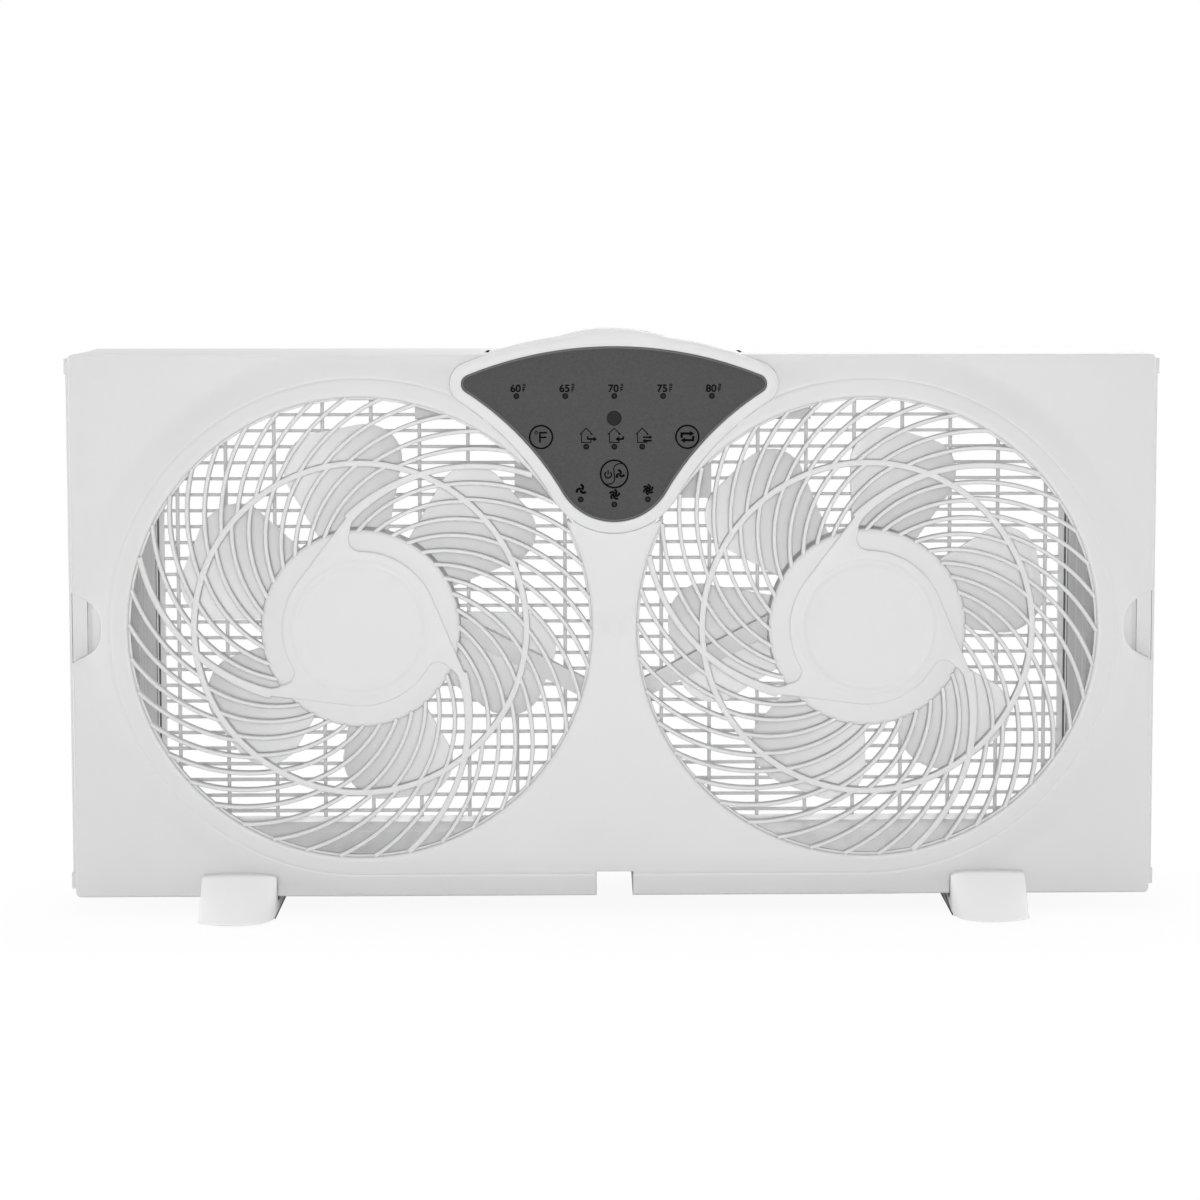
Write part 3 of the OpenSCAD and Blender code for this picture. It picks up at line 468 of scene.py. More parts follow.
def make(name, points, faces, look, body, slot_name):
    """A piece from points (x, y, z) of the drawing frame, riding on a body."""
    mesh = bpy.data.meshes.new(name)
    mesh.from_pydata([at(*p) for p in points], [], faces)
    mesh.validate()
    mesh.materials.append(look)
    crease(mesh)
    piece = add_object(name, mesh)
    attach(piece, body)
    return piece


def finished_mesh(item):
    """A new mesh of an object as it looks after its modifiers."""
    bpy.context.view_layer.update()
    seen_by = bpy.context.evaluated_depsgraph_get()
    return bpy.data.meshes.new_from_object(item.evaluated_get(seen_by))


def bake(piece, degrees):
    """Applies the piece's modifiers and marks its creases again."""
    mesh = finished_mesh(piece)
    mesh.name = piece.name
    piece.modifiers.clear()
    piece.data = mesh
    crease(mesh, degrees)


print("helpers ready")

# %% [markdown]
# ## Outline of the control head
# The dark panel is drawn with four kinds of arc that run smoothly into each other: a wide arc on top, a
# small one round each tip, a hollow one down each side, parallel to the fan opening, and one round the
# bottom. Where two arcs touch, their centres and the touching point lie on one line. So the tip's centre
# is found from the two arcs that it joins, and nothing has to be fitted by eye. Every point keeps its
# outward normal, because then any parallel outline is the same list moved along its normals.

# %% Arcs of the control head
OPENING_R = 133.0
RIM_W = 7.0
HEAD_TOP = HALF_H + 4.9
HEAD_LOW = HEAD_TOP - 100.6
TOP_R = 222.8
TIP_R = 5.5
SIDE_R = OPENING_R + RIM_W + 30.8
SIDE_C = Vector((FAN_X + 31.3, -7.3))
TOP_C = Vector((0, HEAD_TOP - TOP_R))
LOW_R = (SIDE_C.x**2 + (HEAD_LOW - SIDE_C.y) ** 2 - SIDE_R**2) / (2 * (SIDE_R - HEAD_LOW + SIDE_C.y))
LOW_C = Vector((0, HEAD_LOW + LOW_R))


def meet(centre_a, radius_a, centre_b, radius_b):
    """The upper point where two circles meet."""
    gap = (centre_b - centre_a).length
    along = (gap**2 + radius_a**2 - radius_b**2) / (2 * gap)
    across = math.sqrt(radius_a**2 - along**2)
    step = (centre_b - centre_a) / gap
    return centre_a + along * step + across * Vector((-step.y, step.x))


TIP_C = meet(TOP_C, TOP_R - TIP_R, SIDE_C, SIDE_R + TIP_R)


def bearing(start, end):
    """The direction from start to end, in radians."""
    return math.atan2(end.y - start.y, end.x - start.x)


def arc(centre, radius, first, last, count):
    """Points and outward normals along an arc; the radius is negative on a hollow arc."""
    made = []
    for i in range(count):
        angle = first + (last - first) * i / count
        normal = Vector((math.cos(angle), math.sin(angle)))
        made.append((centre + abs(radius) * normal, normal if radius > 0 else -normal))
    return made


to_side = bearing(LOW_C, SIDE_C)
right_half = (
    arc(LOW_C, LOW_R, math.radians(-90), to_side, 24)
    + arc(SIDE_C, -SIDE_R, to_side + math.pi, bearing(SIDE_C, TIP_C), 40)
    + arc(TIP_C, TIP_R, bearing(TIP_C, SIDE_C), bearing(TOP_C, TIP_C), 16)
    + arc(TOP_C, TOP_R, bearing(TOP_C, TIP_C), math.radians(90), 40)
)
left_half = [(Vector((-p.x, p.y)), Vector((-n.x, n.y))) for p, n in right_half[:0:-1]]
top_point = (Vector((0, HEAD_TOP)), Vector((0, 1)))
HEAD = right_half + [top_point] + left_half


def head_outline(grow):
    """The panel's outline, moved outwards by `grow`."""
    return [p + grow * n for p, n in HEAD]


def in_head(x, y, grow):
    """Whether a point lies inside the outline moved outwards by `grow`."""
    spot = Vector((abs(x), y))
    if (spot - TIP_C).length < TIP_R + grow or (spot - LOW_C).length < LOW_R + grow:
        return True
    if (spot - SIDE_C).length < SIDE_R - grow or (spot - TOP_C).length > TOP_R + grow:
        return False
    return spot.x < TIP_C.x and spot.y > LOW_C.y - LOW_R


print("head outline:", len(HEAD), "points, tip at", [round(v, 1) for v in TIP_C])

# %% [markdown]
# ## Front cover
# The cover is one moulding: a flat face, two raised rings that share a web between them and below, and a
# soft slope from the rings down to the face. It could be a stack of extrusions, but then the slope
# would need booleans along a curve that changes from circle to straight line. It is easier to say how
# high the face is at any point: 7 mm in the middle of the raised part, lower towards its lip, and then
# falling softly with the distance from it. So we write that height as a function, and let a
# triangulation carry it. Only a fine groove marks the lip, as on the real cover.

# %% Height of the face
RING_R = OPENING_R + 12.0
CROWN_W = 11.0
COVE_W = 18.0
LIP_Z = 5.0
GROOVE = 0.4
EDGE_R = 1.3
LIP_R = 2.2
CORNER_R = 3.0
FINGER_DEEP = 17.3
FINGER_HALF = 20.0
NOTCH_HALF = 10.5
NOTCH_H = 15.0
WEB_HALF = 60.0
WEB_TOP = 104.0


def outside_rings(x, y):
    """Distance outside the raised part; negative inside it."""
    disc = math.hypot(abs(x) - FAN_X, y) - RING_R
    below = max(abs(x) - FAN_X, -RING_R - y, y)
    web = max(abs(x) - WEB_HALF, y - WEB_TOP, -y)
    return min(disc, below, web)


def cove(distance):
    """Height of the raised part and of the slope beside it, at a distance from its lip."""
    if distance >= COVE_W:
        return 0.0
    groove = GROOVE * max(0.0, 1 - abs(distance + 1.2) / 0.8)
    if distance <= 0:
        fall = max(0.0, 1 + distance / CROWN_W)
        return RELIEF - (RELIEF - LIP_Z) * fall**1.3 - groove
    t = distance / COVE_W
    return LIP_Z * (2 * t**3 - 3 * t**2 + 1) - 0.25 * COVE_W * (t**3 - 2 * t**2 + t) - groove


def finger_depth(y):
    """How far the finger notch reaches in from the cover's side."""
    return FINGER_DEEP * max(0.0, 1 - abs(y / FINGER_HALF) ** 3)


def inset(x, y):
    """Distance inside the cover's outline, its finger notches and the notch at the bottom."""
    dx, dy = HALF_W - abs(x), HALF_H - abs(y)
    edge = min(dx, dy)
    if dx < CORNER_R and dy < CORNER_R:
        edge = CORNER_R - math.hypot(CORNER_R - dx, CORNER_R - dy)
    if abs(y) < FINGER_HALF:
        slope = FINGER_DEEP * 3 / FINGER_HALF * abs(y / FINGER_HALF) ** 2
        edge = min(edge, (dx - finger_depth(y)) / math.hypot(1, slope))
    notch = max(abs(x) - NOTCH_HALF, y + HALF_H - NOTCH_H)
    return min(edge, notch)


def rolled(distance, radius):
    """How far a rounded edge has fallen at a distance inside the edge."""
    if distance >= radius:
        return 0.0
    return radius - math.sqrt(max(0.0, radius**2 - (radius - max(distance, 0)) ** 2))


def face_height(x, y):
    """Height of the cover's skin over a point of the face."""
    lip = math.hypot(abs(x) - FAN_X, y) - OPENING_R
    return cove(outside_rings(x, y)) - rolled(inset(x, y), EDGE_R) - rolled(lip, LIP_R)


print("face height on the ring, in the hollow, on the face:")
print([round(face_height(-FAN_X - r, 0), 2) for r in (138, 148, 152)], face_height(-HALF_W + 8, 80))

# %% [markdown]
# The triangulation needs points where the surface bends, and edges where it turns. So we draw lines
# at fixed distances from the opening, from the rings and from the cover's outline, close together where
# the bend is tight. A constrained Delaunay triangulation joins them all, even where the lines cross,
# and afterwards only the triangles that lie on the cover are kept.

# %% Guide lines on the face
guide_points = []
guide_edges = []


def guide(points, closed=True):
    """Adds a line that the triangulation has to follow."""
    first = len(guide_points)
    guide_points.extend(Vector((p[0], p[1])) for p in points)
    last = len(guide_points) - 1
    guide_edges.extend((i, i + 1) for i in range(first, last))
    if closed:
        guide_edges.append((last, first))


def circle(cx, cy, radius, count, phase=0.0):
    """Points round a circle; a phase of 0.5 starts half a step later."""
    turn = [2 * math.pi * (i + phase) / count for i in range(count)]
    return [(cx + radius * math.cos(a), cy + radius * math.sin(a)) for a in turn]


def rounded_box(inward):
    """The cover's outline, `inward` millimetres inside its edge."""
    made = []
    for sx, sy, start in ((1, 1, 0), (-1, 1, 90), (-1, -1, 180), (1, -1, 270)):
        for i in range(7):
            angle = math.radians(start + 15 * i)
            reach = CORNER_R - inward
            across = sx * (HALF_W - CORNER_R) + reach * math.cos(angle)
            made.append((across, sy * (HALF_H - CORNER_R) + reach * math.sin(angle)))
    return made


LIP_STEPS = (-8.5, -6, -3.5, -2.0, -1.2, -0.4, 0.6, 2, 3.8, 5.6, 7.4, 9.2, 11, 12.8, 14.6, 16.4, COVE_W)
for side in (-1, 1):
    for step in (0, 0.15, 0.5, 1.1, LIP_R):
        guide(circle(side * FAN_X, 0, OPENING_R + step, 300, step % 0.7))
    for step in LIP_STEPS:
        guide(circle(side * FAN_X, 0, RING_R + step, 240, 0.5))
for step in LIP_STEPS:
    low = -RING_R - step
    guide([(x * FAN_X / 40, low) for x in range(-40, 41)], closed=False)
for step in (0, 0.12, 0.4, 0.8, EDGE_R):
    guide(rounded_box(step))
    for side in (-1, 1):
        ys = [i * (FINGER_HALF + 0.6) / 24 for i in range(-24, 25)]
        guide([(side * (HALF_W - finger_depth(y) - step * 1.02), y) for y in ys], closed=False)
    near, top = NOTCH_HALF + step, -HALF_H + NOTCH_H + step
    guide([(-near, -HALF_H), (-near, top), (near, top), (near, -HALF_H)], closed=False)
guide(head_outline(RIM_W + 0.1))
print("guide lines:", len(guide_points), "points,", len(guide_edges), "edges")

# %% [markdown]
# Now the triangles. A triangle belongs to the cover if its middle lies inside the outline, outside both
# openings and outside the cut for the control head. The free edges along the outline are then drawn
# back into the walls: deep on top, below and in the bottom notch, and only a lip at the sides, where
# the side panels come out. Last, Solidify gives this skin the 2.5 mm of a real moulding.

# %% Front cover skin
WALL_BACK = 70.0
SIDE_BACK = 11.7
WALL_T = 2.5
corners, _, triangles, _, _, _ = geometry.delaunay_2d_cdt(guide_points, guide_edges, [], 0, 1e-4)


def on_cover(x, y):
    """Whether a point lies inside the outline and outside all three openings."""
    if inset(x, y) < 0 or in_head(x, y, RIM_W + 0.1):
        return False
    return math.hypot(abs(x) - FAN_X, y) > OPENING_R


skin = bmesh.new()
skin_verts = [skin.verts.new((p.x, p.y, face_height(p.x, p.y))) for p in corners]
for tri in triangles:
    a, b, c = (corners[i] for i in tri)
    middle = (a + b + c) / 3
    if on_cover(middle.x, middle.y):
        skin.faces.new([skin_verts[i] for i in tri])
bmesh.ops.delete(skin, geom=[v for v in skin.verts if not v.link_faces], context="VERTS")
bmesh.ops.dissolve_degenerate(skin, dist=0.004, edges=skin.edges)
rim_edges = []
for edge in skin.edges:
    mid = (edge.verts[0].co + edge.verts[1].co) / 2
    if edge.is_boundary and abs(inset(mid.x, mid.y)) < 0.06 and not in_head(mid.x, mid.y, RIM_W + 0.6):
        rim_edges.append(edge)
drawn = bmesh.ops.extrude_edge_only(skin, edges=rim_edges)["geom"]
for vert in (item for item in drawn if isinstance(item, bmesh.types.BMVert)):
    deep = abs(vert.co.y) > HALF_H - CORNER_R or abs(vert.co.x) < 20
    vert.co.z = -WALL_BACK if deep else -SIDE_BACK
bmesh.ops.recalc_face_normals(skin, faces=skin.faces)
front_face = max(skin.faces, key=lambda f: f.calc_center_median().z)
if front_face.normal.z < 0:
    bmesh.ops.reverse_faces(skin, faces=skin.faces)
skin_points = [tuple(v.co) for v in skin.verts]
skin.verts.index_update()
skin_faces = [[v.index for v in f.verts] for f in skin.faces]
skin.free()
cover = make("front_cover_shell", skin_points, skin_faces, WHITE, "housing", "white_moulding")
thicken = cover.modifiers.new("wall", "SOLIDIFY")
thicken.thickness = WALL_T / 1000
thicken.offset = -1
bake(cover, 35)
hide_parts("front_cover")
print("front cover:", len(cover.data.polygons), "faces, walls along", len(rim_edges), "edges")

# %% [markdown]
# ## Three shapes that make nearly everything else
# `loft` joins a row of equal rings into a skin, `sweep` carries a section along a line, and `slab` gives
# an outline a thickness and a rolled front edge. A `Moulding` collects such skins into one piece,
# because on the real part ribs, bars and hub leave the tool as one. `weld` closes the seams between
# skins, and `mould` makes a collected piece and welds it.

# %% Loft, sweep and slab
class Moulding:
    """Collects skins, so that many of them become one mesh."""

    def __init__(self):
        self.points = []
        self.faces = []

    def add(self, points, faces):
        """Takes in one more skin."""
        first = len(self.points)
        self.points.extend(points)
        self.faces.extend([first + i for i in face] for face in faces)

    def shifted(self, dx, dy=0.0):
        """Moves the whole piece over the face."""
        self.points = [(x + dx, y + dy, z) for x, y, z in self.points]
        return self


def loft(rings, ends=True, round_trip=False):
    """Joins rings of points; the last ring meets the first one on a round trip."""
    count = len(rings[0])
    points = [p for ring in rings for p in ring]
    faces = []
    steps = len(rings) if round_trip else len(rings) - 1
    for i in range(steps):
        here, there = i * count, (i + 1) % len(rings) * count
        for k in range(count):
            n = (k + 1) % count
            faces.append([here + k, here + n, there + n, there + k])
    if ends and not round_trip:
        faces.append(list(range(count))[::-1])
        faces.append([(len(rings) - 1) * count + k for k in range(count)])
    return points, faces


def sweep(path, section, closed=False):
    """Carries a section of (across, height) points along a line in the plane of the face."""
    rings = []
    count = len(path)
    for i, spot in enumerate(path):
        before = path[(i - 1) % count] if closed or i > 0 else path[i]
        after = path[(i + 1) % count] if closed or i < count - 1 else path[i]
        along = (Vector(after) - Vector(before)).normalized()
        side = Vector((along.y, -along.x))
        rings.append([(spot[0] + side.x * a, spot[1] + side.y * a, h) for a, h in section])
    return loft(rings, ends=not closed, round_trip=closed)


def inside_loop(x, y, loop):
    """Whether a point lies inside a closed line: a ray to the right crosses it an odd number of times."""
    odd = False
    for (x1, y1), (x2, y2) in zip(loop, loop[1:] + loop[:1]):
        if (y1 > y) != (y2 > y) and x < x1 + (y - y1) * (x2 - x1) / (y2 - y1):
            odd = not odd
    return odd


def outward(loop):
    """Unit normals of a counter-clockwise loop, which point away from its inside."""
    normals = []
    for i, spot in enumerate(loop):
        along = Vector(loop[(i + 1) % len(loop)]) - Vector(loop[i - 1])
        normals.append(Vector((along.y, -along.x)).normalized())
    return normals


def slab(outline, low, high, rolls, holes=(), lift=None):
    """A plate with an edge that is rolled in steps of (inwards, downwards), and open holes."""
    made = Moulding()
    caps = []
    for number, loop in enumerate([outline, *holes]):
        loop = [(p[0], p[1]) for p in loop]
        normals = outward(loop)
        inward = -1 if number == 0 else 1
        steps = rolls if number == 0 else [(0, 0)]
        rings = []
        for step, level in [(0, low), *[(step, high - fall) for step, fall in steps]]:
            step *= inward
            moved = [(p[0] + n.x * step, p[1] + n.y * step) for p, n in zip(loop, normals)]
            lifted = lift is not None and level > low
            rings.append([(x, y, level + (lift(x, y) if lifted else 0)) for x, y in moved])
        points, faces = loft(rings, ends=False)
        made.add(points, faces if number == 0 else [face[::-1] for face in faces])
        caps.append(rings[-1])
    flat = [Vector((p[0], p[1])) for ring in caps for p in ring]
    edges = []
    first = 0
    for ring in caps:
        edges += [(first + i, first + (i + 1) % len(ring)) for i in range(len(ring))]
        first += len(ring)
    spots, _, triangles, origins, _, _ = geometry.delaunay_2d_cdt(flat, edges, [], 0, 1e-5)
    heights = [p[2] for ring in caps for p in ring]
    top = [(p.x, p.y, heights[origin[0]] if origin else high) for p, origin in zip(spots, origins)]
    loops = [[(p[0], p[1]) for p in ring] for ring in caps]
    kept = []
    for tri in triangles:
        middle = (spots[tri[0]] + spots[tri[1]] + spots[tri[2]]) / 3
        if sum(inside_loop(middle.x, middle.y, loop) for loop in loops) == 1:
            kept.append(list(tri))
    made.add(top, kept)
    return made.points, made.faces


def weld(piece, gap_mm=0.002):
    """Joins points that lie on each other, and turns all faces outwards."""
    work = bmesh.new()
    work.from_mesh(piece.data)
    bmesh.ops.remove_doubles(work, verts=work.verts, dist=gap_mm / 1000)
    bmesh.ops.recalc_face_normals(work, faces=work.faces)
    work.to_mesh(piece.data)
    work.free()
    crease(piece.data)
    return piece


def mould(name, moulding, look, body="housing", slot_name="white_moulding", gap_mm=0.002):
    """Makes a collected moulding into a welded piece."""
    piece = make(name, moulding.points, moulding.faces, look, body, slot_name)
    return weld(piece, gap_mm)


print("loft, sweep and slab ready")

# %% [markdown]
# ## Swirled guards
# Each guard is a wheel of fine ribs: twelve spaces from arm to arm inside the round bar, fourteen
# outside it. The ribs inside the bar all follow one circle, turned about the fan's axis again and again,
# and those outside it follow another, flatter one. A rib is an arc, swept with a section that is deep
# and narrow, rounded in front where fingers meet it. Sweeping an arc is better here than bending a
# straight bar, because the section stays upright all along.

# %% Ribs and bars
INNER_COURSE = (75.0, 57.0, 18.3)
OUTER_COURSE = (103.5, 67.0, -8.4)
HUB_R = 57.3
BAR_R = 95.4
GUARD_RING_R = OPENING_R - 0.2
RIB_SECTION = [
    (-0.9, 1.2), (-1.2, 1.5), (-1.25, 4.9), (-1.1, 5.5), (-0.7, 5.92),
    (0, 6.05), (0.7, 5.92), (1.1, 5.5), (1.25, 4.9), (1.2, 1.5), (0.9, 1.2),
]


def sweep_angle(course, radius):
    """Where a circle (its radius, its middle's distance from the axis, its turn) crosses a radius."""
    circle_r, circle_c, turn = course
    return math.degrees(math.acos((radius**2 + circle_c**2 - circle_r**2) / (2 * radius * circle_c))) + turn


def polar(radius, degrees):
    """The point at a radius and an angle."""
    return (radius * math.cos(math.radians(degrees)), radius * math.sin(math.radians(degrees)))


def rib_path(course, start_r, end_r, turn, count):
    """Points of one rib between two radii, turned about the fan's axis by `turn` degrees."""
    made = []
    for i in range(count + 1):
        radius = start_r + (end_r - start_r) * i / count
        made.append(polar(radius, sweep_angle(course, radius) + turn))
    return made


def clear_of_head(path, side):
    """The first stretch of a path that stays outside the control head's rim."""
    kept = []
    for x, y in path:
        if in_head(x + side * FAN_X, y, RIM_W + 0.3):
            break
        kept.append((x, y))
    return kept


def add_ribs(guard, side):
    """All ribs between the arms, inside and outside the round bar; returns their number."""
    laid = 0
    zones = ((INNER_COURSE, HUB_R - 1, BAR_R, 12), (OUTER_COURSE, BAR_R, OPENING_R - 0.1, 14))
    for course, start_r, end_r, spaces in zones:
        for arm in range(3):
            for i in range(1, spaces):
                path = rib_path(course, start_r, end_r, arm * 120 + i * 120 / spaces, 14)
                path = clear_of_head(path, side)
                if len(path) > 1:
                    guard.add(*sweep(path, RIB_SECTION))
                    laid += 1
    return laid


def ring_section(half, low, high, roll):
    """Section of a round bar: square behind, rounded in front."""
    right = [
        (half - roll, high), (half - roll * 0.3, high - roll * 0.3), (half, high - roll),
        (half, low + 0.3), (half - 0.3, low),
    ]
    return [(-a, h) for a, h in right[::-1]] + right


def add_hoop(guard, radius, section, side):
    """A round bar, left open where the control head passes over it."""
    count = 180
    hoop = circle(0, 0, radius, count)
    hidden = [in_head(x + side * FAN_X, y, RIM_W + 0.3) for x, y in hoop]
    if not any(hidden):
        guard.add(*sweep(hoop, section, closed=True))
        return
    first = next(i for i in range(count) if hidden[i - 1] and not hidden[i])
    stretch = []
    for i in range(count):
        if hidden[(first + i) % count]:
            break
        stretch.append(hoop[(first + i) % count])
    guard.add(*sweep(stretch, section))


print("inner and outer ribs meet the round bar", end=" ")
print(round(sweep_angle(INNER_COURSE, BAR_R) - sweep_angle(OUTER_COURSE, BAR_R), 1), "degrees apart")

# %% [markdown]
# The three thick arms are ribs of the outer course, made wider and carried on over the round bar to the
# hub, where they bend a little towards it. The arms, the raised middle and the comma-shaped recesses
# between them are all one outline: out along one side of an arm, back along the other, round the head
# of a recess, along the middle's circle, and off on the straight line that touches this circle and runs
# into the next arm.

# %% Outline of the raised middle and its arms
PLATEAU_R = 45.0
HEAD_ROUND = 6.5
HEAD_AT = 89.8
TAPER_NORMAL = 142.8
ARM_ROOT = 6.8
ARM_TIP = 3.5
ARM_RUN = 57.7
BEND_R = HUB_R + 8.7
ARM_START = 64.0


def arm_spot(radius):
    """Middle of an arm at a radius, and its width there."""
    run = min(1.0, max(0.0, (radius - HUB_R) / ARM_RUN))
    bend = 0.07 * max(0.0, BEND_R - radius) ** 2
    middle = polar(radius, sweep_angle(OUTER_COURSE, radius) - bend)
    return Vector(middle), ARM_TIP + (ARM_ROOT - ARM_TIP) * (1 - run) ** 2


def arm_sides(first_r, last_r, count):
    """Both sides of an arm between two radii, from the hub outwards."""
    left, right = [], []
    for i in range(count + 1):
        radius = first_r + (last_r - first_r) * i / count
        middle, width = arm_spot(radius)
        along = (arm_spot(radius + 0.5)[0] - arm_spot(radius - 0.5)[0]).normalized()
        side = Vector((along.y, -along.x))
        left.append(middle - side * width / 2)
        right.append(middle + side * width / 2)
    return left, right


def third_of_outline():
    """One third of the raised outline, counter-clockwise: an arm and the recess after it."""
    tip_r = OPENING_R - 0.1
    left, right = arm_sides(ARM_START, tip_r, 26)
    right_root = arm_sides(ARM_START - 4.5, tip_r, 4)[1][0]
    taper = []
    for i in range(9):
        radius = PLATEAU_R + (ARM_START + 0.5 - PLATEAU_R) * (i / 8) ** 2
        taper.append(Vector(polar(radius, TAPER_NORMAL - math.degrees(math.acos(PLATEAU_R / radius)))))
    head_c = Vector(polar(PLATEAU_R + HEAD_ROUND, HEAD_AT))
    head = [head_c + Vector(polar(HEAD_ROUND, a)) for a in range(150, 271, 12)]
    flat = [Vector(polar(PLATEAU_R, a)) for a in range(int(TAPER_NORMAL) - 116, 89, 4)]
    return flat + head[::-1] + [right_root] + right + left[::-1] + taper[::-1]


def turned(points, degrees):
    """The same points, turned about the fan's axis."""
    c, s = math.cos(math.radians(degrees)), math.sin(math.radians(degrees))
    return [(p[0] * c - p[1] * s, p[0] * s + p[1] * c) for p in points]


raised_outline = []
for third in range(3):
    raised_outline += turned(third_of_outline(), 120 * third)
print("raised outline:", len(raised_outline), "points")

# %% [markdown]
# The hub under it is a shallow cup, turned about the axis, and so is the dished cap with its soft rim.
# `turn_profile` spins a line of (radius, height) points. The raised part then sits on the cup, 1.8 mm
# above the floor of the recesses, with a rolled edge that catches the light as a thin bright line.

# %% Both guards
def turn_profile(profile, count=120, closed=False):
    """Spins a profile of (radius, height) points about the axis."""
    rings = []
    for radius, height in profile:
        rings.append([(*polar(radius, 360 * i / count), height) for i in range(count)])
    return loft(rings, ends=False, round_trip=closed)


HUB_CUP = [
    (0.05, 5.2), (30, 5.2), (54.6, 5.2), (55.9, 5.0), (56.8, 4.4), (57.25, 3.4), (57.3, 2),
    (57.3, -11.6), (56.9, -12), (55.2, -12), (54.8, -11.6), (54.8, 2.7), (0.05, 2.7),
]
CAP_DISH = [
    (40.4, 7.0), (39.6, 7.1), (38.8, 7.35), (38.0, 7.5), (37.2, 7.45), (36.3, 7.15), (35.4, 6.8),
    (34.2, 6.6), (31, 6.5), (20, 6.36), (10, 6.3), (0.05, 6.28),
]


def fall_to_arms(x, y):
    """The raised part is 7 mm high on the hub and a little lower out on the arms."""
    radius = math.hypot(x, y)
    return -0.6 * min(1.0, max(0.0, (radius - 56) / 14))


CAP_R = CAP_DISH[0][0]
PLATEAU_LOW = 3.2
PLATEAU_ROLL = [(0, 1.1), (0.18, 0.5), (0.55, 0.12), (1.0, 0)]


def guard(name, node, side):
    """One whole guard: ribs, round bar, outer hoop, hub cup, cap and raised middle."""
    moulding = Moulding()
    laid = add_ribs(moulding, side)
    add_hoop(moulding, BAR_R, ring_section(1.85, 1.2, 6.3, 1.1), side)
    add_hoop(moulding, GUARD_RING_R + 2.5, ring_section(3.5, 1.5, 4.4, 0.4), side)
    moulding.add(*turn_profile(HUB_CUP, closed=True))
    moulding.add(*turn_profile(CAP_DISH))
    middle = circle(0, 0, CAP_R, 120)
    plateau = slab(raised_outline, PLATEAU_LOW, RELIEF, PLATEAU_ROLL, [middle], fall_to_arms)
    moulding.add(*plateau)
    piece = mould(name, moulding.shifted(side * FAN_X), WHITE)
    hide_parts(node)
    print(name, "ribs:", laid, "faces:", len(piece.data.polygons))


guard("left_guard", "left_front_guard", -1)
guard("right_guard", "right_front_guard", 1)

# %% [markdown]
# ## Control head
# A white rim frames the dark panel, and above the middle it swells into a low hump. Every row of the
# rim is the head's outline moved along its normals, so the rim keeps its width round the tips, where a
# scaled copy would not. The hump is added to the outer rows only.

# %% Rim of the control head
RIM_TOP = 11.0
PANEL_TOP = 10.2
HUMP_H = 2.9
HUMP_HALF = 34.0


def hump(point, normal):
    """What the rim is wider by on top: a low swelling that starts and ends softly."""
    if normal.y < 0.9 or abs(point.x) > HUMP_HALF:
        return 0.0
    return HUMP_H * (1 - (point.x / HUMP_HALF) ** 2) ** 1.6


def head_row(grow, level, share):
    """One row of the rim: the outline grown, raised to a level, with a share of the hump."""
    return [(*(p + (grow + share * hump(p, n)) * n), level) for p, n in HEAD]


RIM_ROWS = [
    (0.0, 8.0, 0), (0.0, 10.4, 0), (0.12, 10.8, 0), (0.45, RIM_TOP, 0), (2.4, RIM_TOP, 0.4),
    (4.2, 10.85, 0.75), (5.6, 10.6, 0.95), (6.2, 10.35, 1), (6.55, 9.9, 1), (6.7, 9.2, 1),
    (6.8, 0.0, 1), (4.5, 0.0, 1), (4.5, 8.0, 1),
]
rim = Moulding()
rim.add(*loft([head_row(*row) for row in RIM_ROWS], round_trip=True))
rim_piece = mould("control_rim", rim, WHITE)
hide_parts("control_bezel")
print("control rim:", len(rim_piece.data.polygons), "faces")

# %% [markdown]
# The dark sheet lies 0.8 mm below the rim and has a small sloping edge, which takes a lighter grey: a
# painted highlight along the edge.
# Its keys, lights and receiver window are real openings: a key that is pressed has to move through the
# sheet, and a drawn circle couldn't.

# %% Dark panel
KEY_X = 41.8
KEYS = {
    "power_key": ((0.0, HEAD_TOP - 73.0), 8.2, "power_button"),
    "temperature_key": ((-KEY_X, HEAD_TOP - 51.8), 6.9, "temperature_button"),
    "direction_key": ((KEY_X, HEAD_TOP - 51.8), 6.9, "direction_button"),
}
WINDOW_AT = (0.0, HEAD_TOP - 41.1)
WINDOW_R = 4.3
TEMPERATURE_SPOTS = [(i * 27.9, HEAD_TOP - 28.4) for i in range(-2, 3)]
MODE_SPOTS = [(i * 16.0, HEAD_TOP - 57.4) for i in range(-1, 2)]
SPEED_SPOTS = [(i * 19.2, HEAD_TOP - 87.6 - (2.9 if i == 0 else 0)) for i in range(-1, 2)]
LIGHT_SPOTS = TEMPERATURE_SPOTS + MODE_SPOTS + SPEED_SPOTS
LIGHT_R = 1.2
panel_holes = [circle(x, y, LIGHT_R + 0.08, 20) for x, y in LIGHT_SPOTS]
panel_holes += [circle(*spot, radius + 0.15, 64) for spot, radius, _ in KEYS.values()]
panel_holes.append(circle(*WINDOW_AT, WINDOW_R, 48))
panel_edge = [(0, 0.9), (0.04, 0.55), (0.3, 0.3), (0.85, 0.06), (1.1, 0)]
panel_shape = slab(head_outline(-0.08), 8.1, PANEL_TOP, panel_edge, holes=panel_holes)
panel_piece = weld(make("dark_control_panel", *panel_shape, DARK_PANEL, "housing", "dark_panel"))
# Faces of the sloping edge take the lighter grey of the painted highlight.
panel_piece.data.materials.append(SHEET_EDGE_HIGHLIGHT)
for facet in panel_piece.data.polygons:
    if 0.2 < -facet.normal.y < 0.98:
        facet.material_index = 1
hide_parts("control_panel")
print("dark panel:", len(panel_holes), "openings")

